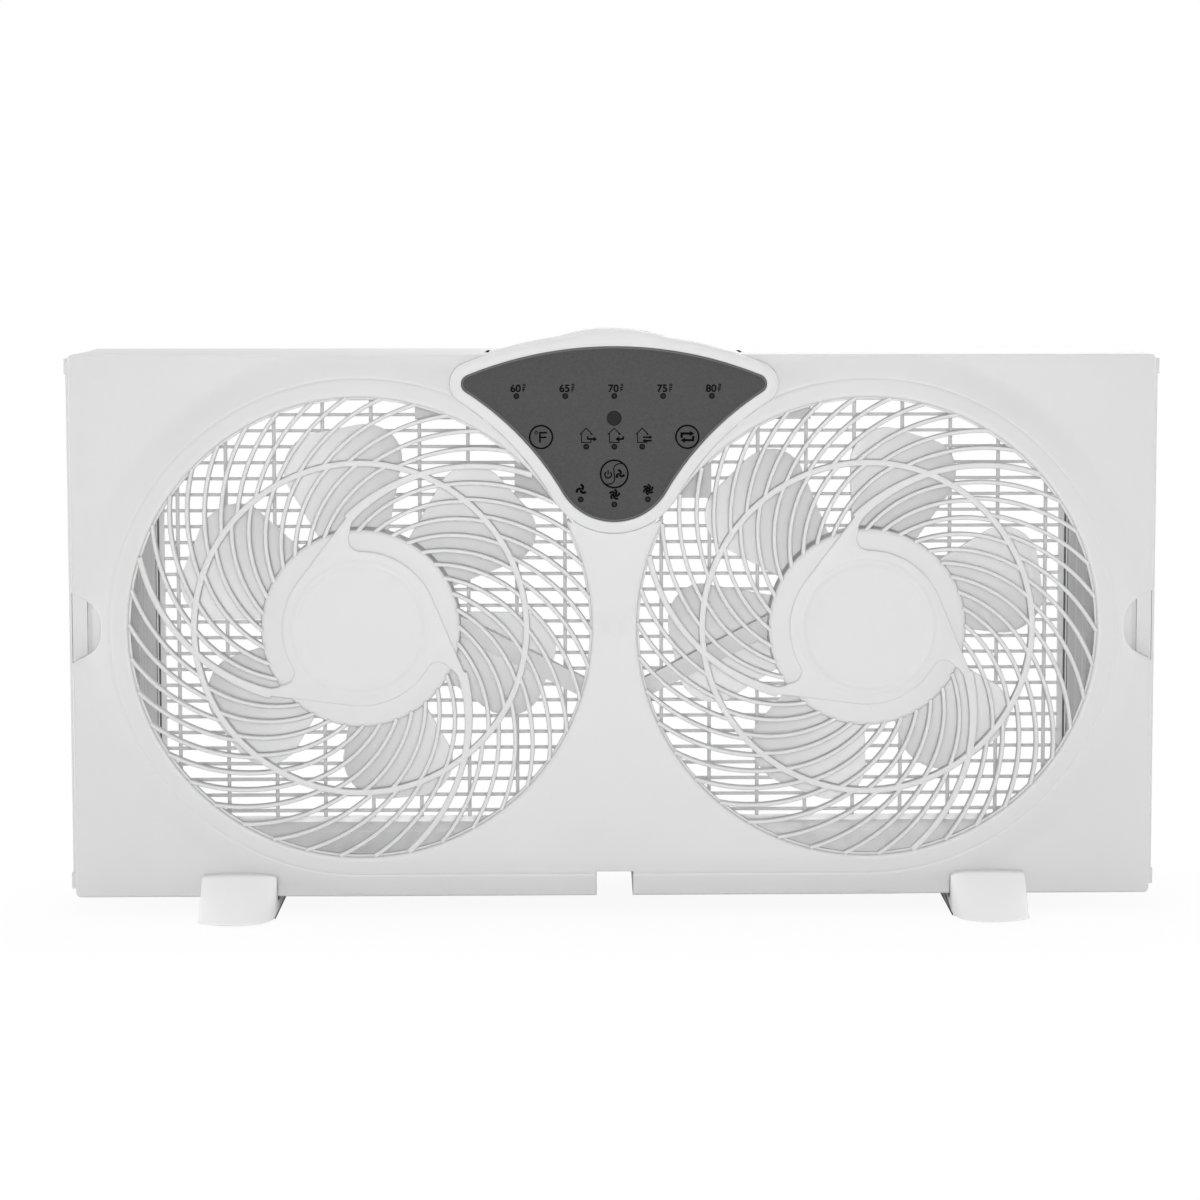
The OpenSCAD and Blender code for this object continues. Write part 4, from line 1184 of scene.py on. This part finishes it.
# %% [markdown]
# Keys, window and lights fill the openings. The keys are part of the same sprayed sheet, so they have
# its colour, with a hairline gap round them. Each key rides on its own body and takes its printing
# along. The lights are unlit, so they are only small dark domes.

# %% Keys, window and lights
def turned_at(spot, profile, count):
    """A profile spun about its own axis, and moved to a spot on the face."""
    shape = Moulding()
    shape.add(*turn_profile(profile, count))
    return shape.shifted(*spot)


for key_name, (spot, radius, node) in KEYS.items():
    edge_loop = circle(*spot, radius, 64)
    key_shape = slab(edge_loop, 7.2, PANEL_TOP, [(0, 0.3), (0.1, 0.08), (0.3, 0)])
    key = weld(make(key_name + "_cap", *key_shape, DARK_PANEL, key_name, "dark_panel"))
    stem_rows = [(radius - 2.3, 7.4), (radius - 2.3, 0.2), (radius - 2.8, -0.3), (0.05, -0.3)]
    stem = turned_at(spot, stem_rows, 48)
    mould(key_name + "_stem", stem, BLACK_PLASTIC, key_name, "dark_panel")
    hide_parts(node)

window_rows = [(WINDOW_R, 8.2), (WINDOW_R, 9.95), (WINDOW_R - 0.25, 10.18)]
window_rows += [(WINDOW_R - 0.8, 10.24), (2, 10.3), (0.05, 10.32)]
window = turned_at(WINDOW_AT, window_rows, 48)
window_piece = mould("receiver_lens", window, DARK_LENS, "housing", "dark_lens")
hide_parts("receiver_window")

DOME = [(LIGHT_R, -6.3), (LIGHT_R, 9.9), (1.05, 10.12), (0.6, 10.28), (0.02, 10.34)]
lights = Moulding()
for spot in LIGHT_SPOTS:
    dome = turned_at(spot, DOME, 20)
    lights.add(dome.points, dome.faces)
light_piece = mould("light_domes", lights, LIGHT_LENS, "housing", "light_lens")
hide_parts("indicator_lights")
print("keys:", len(KEYS), "lights:", len(LIGHT_SPOTS))

# %% [markdown]
# ## Printing
# The signs are printed in black. Each is a flat ribbon a few hundredths of a millimetre thick, so it
# has an edge as real ink has and doesn't flicker with the sheet below it. `ink_line` makes a ribbon of
# even width along a line, and figures come from Blender's own font, turned into a mesh.

# %% Pen and figures
INK_LOW = PANEL_TOP - 0.02
INK_HIGH = PANEL_TOP + 0.05


def ink_line(points, width, closed=False):
    """A flat ribbon along a line, with mitred corners."""
    points = [Vector(p) for p in points]
    count = len(points)
    section = []
    for i, spot in enumerate(points):
        before = points[(i - 1) % count] if closed or i else None
        after = points[(i + 1) % count] if closed or i < count - 1 else None
        into = (spot - before).normalized() if before is not None else (after - spot).normalized()
        out = (after - spot).normalized() if after is not None else into
        normal = Vector((-(into + out).y, (into + out).x)).normalized()
        reach = width / 2 / max(0.35, abs(normal.dot(Vector((-into.y, into.x)))))
        left, right = spot + normal * reach, spot - normal * reach
        section.append([(*left, INK_LOW), (*right, INK_LOW), (*right, INK_HIGH), (*left, INK_HIGH)])
    return loft(section, round_trip=closed)


def ink_patch(outline):
    """A filled patch of ink."""
    low = [(x, y, INK_LOW) for x, y in outline]
    high = [(x, y, INK_HIGH) for x, y in outline]
    return loft([low, high])


def figures(text, x, y, height, squeeze=1.0):
    """A word in Blender's own font, centred on x and standing on y."""
    letters = bpy.data.curves.new("figures", "FONT")
    letters.body = text
    letters.align_x = "CENTER"
    letters.size = height / 0.72
    letters.extrude = (INK_HIGH - INK_LOW) / 2
    letters.offset = 0.15
    holder = add_object("figures", letters)
    mesh = finished_mesh(holder)
    level = (INK_HIGH + INK_LOW) / 2
    points = [(x + v.co.x * squeeze, y + v.co.y, level + v.co.z) for v in mesh.vertices]
    faces = [list(f.vertices) for f in mesh.polygons]
    bpy.data.objects.remove(holder)
    bpy.data.meshes.remove(mesh)
    return points, faces


def stroke(sign, spot, points, width, closed=False):
    """Adds a ribbon to a sign, through points that are measured from `spot`."""
    x, y = spot
    sign.add(*ink_line([(x + dx, y + dy) for dx, dy in points], width, closed))


def ink_ring(sign, spot, radius, count, width):
    """Adds a closed ring of ink round a spot."""
    stroke(sign, spot, circle(0, 0, radius, count), width, closed=True)


print("pen ready")

# %% [markdown]
# On the sheet itself: five temperatures with small degree signs, a ring round every light, three houses
# with arrows that say which way the air goes, and three little fans for the speeds. A house is one line,
# and the arrow leaves it, enters it, or does both.

# %% Signs on the sheet
sheet_ink = Moulding()
for (x, y), number in zip(TEMPERATURE_SPOTS, ("60", "65", "70", "75", "80")):
    sheet_ink.add(*figures(number, x - 0.45, y + 2.4, 4.25, 1.04))
    ink_ring(sheet_ink, (x + 4.45, y + 6.25), 0.6, 14, 0.48)
    stroke(sheet_ink, (x, y), [(3.85, 2.5), (3.85, 4.8), (5.2, 4.8)], 0.55)
    stroke(sheet_ink, (x, y), [(3.85, 3.7), (5.0, 3.7)], 0.5)
for spot in LIGHT_SPOTS:
    ink_ring(sheet_ink, spot, 1.42, 24, 0.5)


def arrow(spot, tail, tip, width=1.05, head=2.0):
    """A short arrow with a filled head; both its ends are measured from `spot`."""
    tail, tip = Vector(spot) + Vector(tail), Vector(spot) + Vector(tip)
    along = (tip - tail).normalized()
    across = Vector((-along.y, along.x))
    neck = tip - along * head
    sheet_ink.add(*ink_line([tail, neck + along * 0.1], width))
    barb = across * head * 0.72
    sheet_ink.add(*ink_patch([tuple(neck - barb), tuple(tip), tuple(neck + barb)]))


def house(spot):
    """Roof and walls, with the lower right corner left open for the arrow."""
    stroke(sheet_ink, spot, [(-3.6, 1.4), (0, 5.0), (3.6, 1.4)], 0.55)
    stroke(sheet_ink, spot, [(-2.7, 1.9), (-2.7, -3.1), (2.7, -3.1), (2.7, -1.6)], 0.52)
    stroke(sheet_ink, spot, [(2.7, 1.0), (2.7, 2.2)], 0.52)


for (x, y), way in zip(MODE_SPOTS, ("out", "in", "both")):
    house((x, y + 5.6))
    door = (x, y + 4.4)
    if way == "out":
        stroke(sheet_ink, door, [(0.8, 1.6), (1.0, 0.1), (2.2, 0)], 0.95)
        arrow(door, (1.2, 0), (6.2, 0))
    elif way == "in":
        stroke(sheet_ink, door, [(5.2, 1.6), (5.1, 0.1), (3.6, 0)], 0.95)
        arrow(door, (5.0, 0), (0.6, 0))
    else:
        arrow(door, (0.4, 1.0), (5.8, 1.0), 0.95, 1.7)
        arrow(door, (5.4, -1.0), (0.2, -1.0), 0.95, 1.7)


def small_fan(sign, spot, size, blades, pen, turn):
    """Hooked blades round a middle, as on the speed signs."""
    for i in range(blades):
        line = []
        for k in range(7):
            part = k / 6
            hook = turn + 360 * i / blades + 75 * part**1.5
            line.append(polar(size * (0.08 + 0.92 * part), hook))
        stroke(sign, spot, line, pen)


for (x, y), blades in zip(SPEED_SPOTS, (3, 5, 6)):
    small_fan(sheet_ink, (x + 0.2, y + 5.6), 3.0, blades, 1.75 - 0.11 * blades, 20)
mould("sheet_printing", sheet_ink, INK, "housing", "dark_panel", 0.0005)
print("sheet printing:", len(sheet_ink.faces), "faces")

# %% [markdown]
# On the keys: a ring along each edge, a degree sign and its letter, two arrows that chase each other,
# and on the large key an S-shaped line between a power sign and a small fan. They ride on the keys'
# bodies.

# %% Signs on the keys
KEY_EDGE = 0.42
WAVE_R, WAVE_TURN, WAVE_BULGE = 7.7, 52, 2.6
key_ink = {name: Moulding() for name in KEYS}
for name, (spot, radius, _) in KEYS.items():
    ink_ring(key_ink[name], spot, radius - KEY_EDGE, 64, 0.8)

sign, spot = key_ink["temperature_key"], KEYS["temperature_key"][0]
ink_ring(sign, (spot[0] - 2.7, spot[1] + 2.5), 0.75, 20, 0.45)
stroke(sign, spot, [(-0.6, -3.2), (-0.6, 2.5), (3.4, 2.5)], 1.0)
stroke(sign, spot, [(-0.6, -0.2), (3.0, -0.2)], 0.95)

sign, spot = key_ink["direction_key"], KEYS["direction_key"][0]
for flip in (1, -1):
    shaft = [(-3.3, -0.6), (-3.3, 1.9), (1.6, 1.9)]
    stroke(sign, spot, [(x * flip, y * flip) for x, y in shaft], 1.3)
    tip = [(1.4, 0.3), (3.9, 1.9), (1.4, 3.5)]
    sign.add(*ink_patch([(spot[0] + x * flip, spot[1] + y * flip) for x, y in tip]))

sign, spot = key_ink["power_key"], KEYS["power_key"][0]
end_x, end_y = polar(WAVE_R, WAVE_TURN)
wave = []
for k in range(25):
    part = k / 24
    bulge = WAVE_BULGE * math.sin(2 * math.pi * part)
    along = 2 * part - 1
    wave.append((end_x * along + bulge * 0.78, end_y * along - bulge * 0.62))
stroke(sign, spot, wave, 0.6)
middle = (spot[0] - 3.5, spot[1] - 0.4)
stroke(sign, middle, [polar(1.9, a) for a in range(130, 411, 14)], 0.8)
stroke(sign, spot, [(-3.5, -0.2), (-3.5, 2.2)], 0.8)
small_fan(sign, (spot[0] + 3.2, spot[1] - 0.2), 2.6, 3, 1.25, 40)
for name in KEYS:
    mould(name + "_printing", key_ink[name], INK, name, "dark_panel", 0.0005)
print("key printing:", [len(m.faces) for m in key_ink.values()])

# %% [markdown]
# ## Fan blades
# Six wide paddles stand on a cup-shaped hub. A paddle has straight sides that spread outwards and two
# round corners, it is hollow across like a spoon, and it is turned a little out of the fan's plane. A
# flat outline would have to be bent afterwards. Here the sheet is laid over a cylinder from the start:
# rows run out along the blade, and in every row the points lie on that cylinder, tilted by the pitch.

# %% Shape of one blade
BLADE_R = 113.5
BLADE_MID = -64.0
BLADES = 6
SHEET_T = 1.8
SAG = 3.0
PITCH = math.radians(24)
CAMBER_R = 110.0
CORNER = 22.0
SPREAD = 12.0
ROOT_X = 38.0
ROOT_HALF = 16.0
CORNER_X = math.sqrt((BLADE_R - CORNER) ** 2 - SPREAD**2)
TILT = math.atan2(SPREAD + CORNER - ROOT_HALF, CORNER_X - ROOT_X) * 0.55
SHOULDER_X = CORNER_X - CORNER * math.sin(TILT)
SHOULDER_HALF = SPREAD + CORNER * math.cos(TILT)


def half_width(x):
    """Half the width of a blade at a distance from the axis."""
    if x < SHOULDER_X:
        return ROOT_HALF + (SHOULDER_HALF - ROOT_HALF) * (x - ROOT_X) / (SHOULDER_X - ROOT_X)
    return SPREAD + math.sqrt(max(0.0, CORNER**2 - (x - CORNER_X) ** 2))


def on_blade(y):
    """Height of the blade's sheet at a distance from the blade's middle line."""
    chord = y
    for _ in range(6):
        bend = CAMBER_R - math.sqrt(CAMBER_R**2 - chord**2)
        chord = (y + (SAG - bend) * math.sin(PITCH)) / math.cos(PITCH)
    bend = CAMBER_R - math.sqrt(CAMBER_R**2 - chord**2)
    return BLADE_MID + chord * math.sin(PITCH) + (SAG - bend) * math.cos(PITCH)


def blade_rows():
    """Rows of points across one blade, from the hub to the tip."""
    rows = []
    for i in range(25):
        part = i / 24
        if part < 0.5:
            x = ROOT_X + (SHOULDER_X - ROOT_X) * part * 2
        else:
            x = CORNER_X + CORNER * math.sin(-TILT + (math.pi / 2 + TILT) * (part - 0.5) * 2)
        across = [half_width(x) * k / 10 for k in range(-10, 11)]
        rows.append([(x, y, on_blade(y)) for y in across])
    return rows


BLADE_HUB = [
    (4.1, -46.8), (5, -46.3), (41.2, -46.3), (42.6, -46.6), (43.6, -47.5), (44, -49), (44, -78.4),
    (43.6, -79), (42.4, -79), (42, -78.4), (42, -53), (9, -51), (9, -78.5), (8.5, -79), (4.1, -79),
]


def fan(name, node, side, first_blade):
    """All six blades and their hub, with the first blade turned to an angle."""
    moulding = Moulding()
    rows = blade_rows()
    count = len(rows[0])
    sheet_points = [p for row in rows for p in row]
    for i in range(BLADES):
        flat = turned(sheet_points, first_blade + 360 / BLADES * i)
        points = [(x, y, p[2]) for (x, y), p in zip(flat, sheet_points)]
        faces = []
        for r in range(len(rows) - 1):
            for k in range(count - 1):
                here = r * count + k
                faces.append([here, here + count, here + count + 1, here + 1])
        moulding.add(points, faces)
    body = name.replace("_blades", "_fan")
    moulding.shifted(side * FAN_X)
    # The blades take the white that is painted lighter, against the shade behind the guards.
    blades = make(name, moulding.points, moulding.faces, BLADE_PAINTED_LIGHT, body, "shaded_moulding")
    sheet = blades.modifiers.new("sheet", "SOLIDIFY")
    sheet.thickness = SHEET_T / 1000
    sheet.offset = 0
    bevel = blades.modifiers.new("edge_radius", "BEVEL")
    bevel.width = SHEET_T / 3000
    bevel.segments = 2
    bevel.limit_method = "ANGLE"
    bevel.angle_limit = math.radians(50)
    bake(blades, 40)
    hub = Moulding()
    hub.add(*turn_profile(BLADE_HUB, 96, closed=True))
    mould(name + "_hub", hub.shifted(side * FAN_X), BLADE_PAINTED_LIGHT, body, "shaded_moulding")
    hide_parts(node)
    print(name, "faces:", len(blades.data.polygons))


fan("left_blades", "left_fan_blades", -1, 40)
fan("right_blades", "right_fan_blades", 1, 12)

# %% [markdown]
# ## Walls of the two air ducts
# Behind the face, straight walls close the space round the blades: a floor, a ceiling and two sides.
# They show through the guards. Each wall is a thin board with rolled edges; the floor and ceiling are
# painted lighter, against the shade inside the ducts, and the sides are painted darker, as shade. Narrow
# dark boards draw the joint between the cover and the rear housing, flat ones in a deep grey of painted
# shade close the gap beside each opening, and one more closes the top behind the control head, where the
# ceiling leaves room for it.

# %% Duct walls
DUCT_HALF_W = HALF_W - 35 - 1 - WALL_T
DUCT_HALF_H = OPENING_R + 1
DUCT_BACK = 0.1 - WALL_BACK
BODY_D = 103.0
LEAD_IN_H = 46.0
JOINT_LEVELS = ((-66.0, 1.2), (-79.0, 6.0))
NOTCH_CUT = 13.0
HEAD_CUT = 96.0
TOP_BOARD_HALF = 75.4


def board(moulding, x1, x2, y1, y2, z1, z2, roll=0.4):
    """A straight board between two corners, with small rolled edges in front and behind."""
    r = roll
    rings = []
    for inward, level in ((r, z1), (0, z1 + r), (0, z2 - r), (r, z2)):
        rings.append([
            (x1 + inward, y1 + inward, level), (x2 - inward, y1 + inward, level),
            (x2 - inward, y2 - inward, level), (x1 + inward, y2 - inward, level),
        ])
    moulding.add(*loft(rings))


walls, side_walls, joints, lead_ins, top_board = (Moulding() for _ in range(5))
for side in (-1, 1):
    near, far = sorted((side * DUCT_HALF_W, side * (DUCT_HALF_W + WALL_T)))
    board(side_walls, near, far, WALL_T - HALF_H, HALF_H - WALL_T, DUCT_BACK, -2.4)
    near, far = sorted((side * (DUCT_HALF_W + 0.1), side * (FAN_X + OPENING_R + 1.5)))
    board(lead_ins, near, far, -LEAD_IN_H, LEAD_IN_H, -3.2, -2.2, 0.05)
    near, far = sorted((side * (DUCT_HALF_W - 0.25), side * (DUCT_HALF_W + 0.3)))
    for level, width in JOINT_LEVELS:
        board(joints, near, far, 6 - HALF_H, HALF_H - 6, level, level + width, 0.05)
    low, high = sorted((side * DUCT_HALF_H, side * (DUCT_HALF_H + WALL_T)))
    cut = NOTCH_CUT if side < 0 else HEAD_CUT
    spans = [(-DUCT_HALF_W, -cut), (cut, DUCT_HALF_W)]
    if side < 0:
        spans.append((-cut, cut))
    for start, end in spans:
        board(walls, start, end, low, high, DUCT_BACK, -4.0)
board(top_board, -TOP_BOARD_HALF, TOP_BOARD_HALF, HALF_H - WALL_T, HALF_H, DUCT_BACK, -32.4, 0.1)
duct_walls = mould("duct_walls", walls, INNER_PAINTED_LIGHT)
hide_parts("front_cover")
duct_sides = mould("duct_sides", side_walls, SIDE_WALL_PAINTED_SHADE)
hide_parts("front_cover")
for name, shape, look in (
    ("top_board", top_board, WHITE),
    ("duct_lead_ins", lead_ins, LEAD_IN_SHADE),
    ("wall_joints", joints, JOINT_SHADE),
):
    make(name, shape.points, shape.faces, look, "housing", "white_moulding")
print("duct walls:", len(duct_walls.data.polygons) + len(duct_sides.data.polygons), "faces")

# %% [markdown]
# ## Rear grille
# Twenty-seven level bars and nineteen upright ones keep fingers out behind. Moulded bars are never
# square: their front edges are rolled, and that is what gives each one its bright and its dark side.

# %% Rear grille bars
GRILLE_HALF_H = OPENING_R - 2.4
BOX_HALF_W = 120.0
BOX_STEM_W = 59.0
BOX_SHOULDER = GRILLE_HALF_H - 15.6
BOX_BOTTOM = GRILLE_HALF_H - 63.6
LEVEL_PITCH = 9.77
UPRIGHT_PITCH = 29.5
LEVEL_HALF, LEVEL_DEPTHS = 0.95, (-102.6, -99.6)
UPRIGHT_HALF, UPRIGHT_DEPTHS = 1.1, (-100.2, -98.0)


def bar_spans(y):
    """From where to where a level bar runs; the terminal box interrupts it."""
    if y <= BOX_BOTTOM:
        return [(-DUCT_HALF_W, DUCT_HALF_W)]
    gap = BOX_HALF_W if y > BOX_SHOULDER else BOX_STEM_W
    return [(-DUCT_HALF_W, -gap), (gap, DUCT_HALF_W)]


def bar_top(x):
    """How high an upright bar reaches; under the terminal box it ends early."""
    if abs(x) < BOX_STEM_W:
        return BOX_BOTTOM
    return BOX_SHOULDER if abs(x) < BOX_HALF_W else GRILLE_HALF_H


bars = Moulding()
levels = int(GRILLE_HALF_H // LEVEL_PITCH)
for i in range(-levels, levels + 1):
    y = i * LEVEL_PITCH
    for start, end in bar_spans(y):
        board(bars, start, end, y - LEVEL_HALF, y + LEVEL_HALF, *LEVEL_DEPTHS, 0.5)
uprights = int(DUCT_HALF_W // UPRIGHT_PITCH)
for i in range(-uprights, uprights + 1):
    x = i * UPRIGHT_PITCH
    left, right = x - UPRIGHT_HALF, x + UPRIGHT_HALF
    board(bars, left, right, -GRILLE_HALF_H, bar_top(x), *UPRIGHT_DEPTHS, 0.5)
# The bars take the darker white: painted shade at the back of the ducts.
grille = mould("rear_grille_bars", bars, GRILLE_PAINTED_SHADE, gap_mm=0.0005)
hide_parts("rear_grille")
print("grille bars:", 2 * levels + 1, "level,", 2 * uprights + 1, "upright")

# %% [markdown]
# ## Feet
# A foot is a bowed toe that slopes up to a lip in front of the housing, and the same behind. The side
# view is one closed line with rounded corners. It is repeated across the foot, and towards both flanks
# every copy shrinks along its own normals, which rolls the long edges. A bevel would have the same
# radius everywhere, and here the toe also has to bow in plan.

# %% Both feet
FOOT_X = HALF_W - 95.5
FOOT_W = 43.0
BOW_R = 34.0
FLARE = 8.0
FRONT_Y = FACE_Y - 34
FOOT_H = AXIS_Z - HALF_H
BACK_Y = FACE_Y + BODY_D


def rounded_line(corners):
    """A closed line through corners (a, b, radius), each corner cut by an arc-like curve."""
    steps = 6
    made = []
    for i, (a, b, radius) in enumerate(corners):
        spot = Vector((a, b))
        before = Vector(corners[i - 1][:2])
        after = Vector(corners[(i + 1) % len(corners)][:2])
        to_before = (before - spot).normalized()
        to_after = (after - spot).normalized()
        if radius <= 0:
            made.append(spot)
            continue
        half = to_before.angle(to_after) / 2
        reach = min(radius / math.tan(half), (before - spot).length * 0.45, (after - spot).length * 0.45)
        start, end = spot + to_before * reach, spot + to_after * reach
        for k in range(steps + 1):
            t = k / steps
            made.append((1 - t) ** 2 * start + 2 * t * (1 - t) * spot + t**2 * end)
    return made


def subdivided(loop, longest):
    """The same line with extra points on long stretches."""
    made = []
    for i, spot in enumerate(loop):
        after = loop[(i + 1) % len(loop)]
        pieces = max(1, math.ceil((after - spot).length / longest))
        made += [spot.lerp(after, k / pieces) for k in range(pieces)]
    return made


LIP_TOP = FOOT_H + 14.5
foot_line = rounded_line([
    (FRONT_Y, 0.8, 0.8), (BACK_Y + 27, 0.8, 0.8), (BACK_Y + 7, LIP_TOP, 6), (BACK_Y, LIP_TOP, 0.8),
    (BACK_Y, FOOT_H, 0), (FACE_Y, FOOT_H, 0), (FACE_Y, LIP_TOP, 0.8), (FACE_Y - 7, LIP_TOP, 6),
])
foot_line = subdivided(foot_line, 6)
foot_normals = outward(foot_line)


def foot(name, node, side):
    """One foot, from flank to flank; its inner flank is rounder in plan and at its edge."""
    rings = []
    half = FOOT_W / 2
    for k in range(-16, 17):
        across = half * math.sin(math.pi / 2 * k / 16)
        shrink = rolled(half - abs(across), 1.5 if across * side > 0 else 3.0)
        bow = BOW_R - math.sqrt(BOW_R**2 - across**2)
        if across * side < 0:
            bow += FLARE * (across / half) ** 4
        crown = 0.9 * (across / half) ** 2
        ring_points = []
        for spot, normal in zip(foot_line, foot_normals):
            y, z = spot - normal * (min(shrink, 1.0) if spot.y < 2 else shrink * 0.8)
            out_front = min(1.0, max(0.0, (FACE_Y - 7 - y) / 22))
            out_back = min(1.0, max(0.0, (y - BACK_Y - 7) / 22))
            y += bow * (out_front - out_back)
            if z > FOOT_H + 8:
                z -= crown
            ring_points.append((side * FOOT_X + across, z - AXIS_Z, FACE_Y - y))
        rings.append(ring_points)
    piece = weld(make(name, *loft(rings), FOOT_PAINTED_LIGHT, "housing", "white_moulding"))
    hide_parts(node)
    print(name, "faces:", len(piece.data.polygons))


foot("left_foot_moulding", "left_foot", -1)
foot("right_foot_moulding", "right_foot", 1)

# %% [markdown]
# ## Leads behind the blades
# Three short black leads lie at the terminal box, behind the control head. From straight ahead its rim
# covers them. The `sweep` that drew the ribs draws them as well.

# %% Leads
LEAD_SECTION = [(-0.6, -87.3), (-0.5, -86.7), (0, -86.4), (0.5, -86.7), (0.6, -87.3), (0, -87.9)]
LEAD_PATHS = [
    [(-53.2, 89.6), (-51.8, 88.5), (-50.0, 88.0), (-48.0, 88.3), (-46.2, 88.6), (-44.5, 88.2)],
    [(-52.6, 94.6), (-51.4, 95.3), (-50.2, 95.4)],
    [(52.4, 95.6), (53.4, 94.6), (54.2, 93.8)],
]
leads = Moulding()
for path in LEAD_PATHS:
    leads.add(*sweep(path, LEAD_SECTION))
mould("terminal_leads", leads, BLACK_PLASTIC, "housing", "black_plastic")
print("leads:", len(LEAD_PATHS))

# %% [markdown]
# ## Solids that keep their own shape
# The pieces that no light or eye follows closely keep the solid's shape. They only get their finish: each
# node's one material slot takes the material that its record names. Only the rear housing takes its own
# finish, in two tones: its inside is painted lighter against the shade there.

# %% Finishes of the remaining solids
FINISH = {
    "white_moulding": WHITE,
    "shaded_moulding": BLADE_PAINTED_LIGHT,
    "dark_panel": DARK_PANEL,
    "dark_lens": DARK_LENS,
    "light_lens": LIGHT_LENS,
    "circuit_board": BOARD,
    "black_plastic": BLACK_PLASTIC,
    "screw_steel": SCREW_STEEL,
    "motor_case": MOTOR_CASE,
    "stator_steel": STATOR_STEEL,
    "winding_copper": COPPER,
    "rotor_aluminium": ALUMINIUM,
    "bearing_bronze": BRONZE,
    "capacitor_case": CAPACITOR,
    "pad_rubber": RUBBER,
}
OWN_FINISH = {"rear_housing": HOUSING_PAINTED_LIGHT}
kept = 0
for node_name, solid in frame["nodes"].items():
    if solid.hide_render:
        continue
    crease(solid.data, 30)
    slot_name = solid.data.materials[0].name.split(".")[0]
    solid.material_slots[0].material = OWN_FINISH.get(node_name, FINISH[slot_name])
    kept += 1
print("solids kept with a finish:", kept)
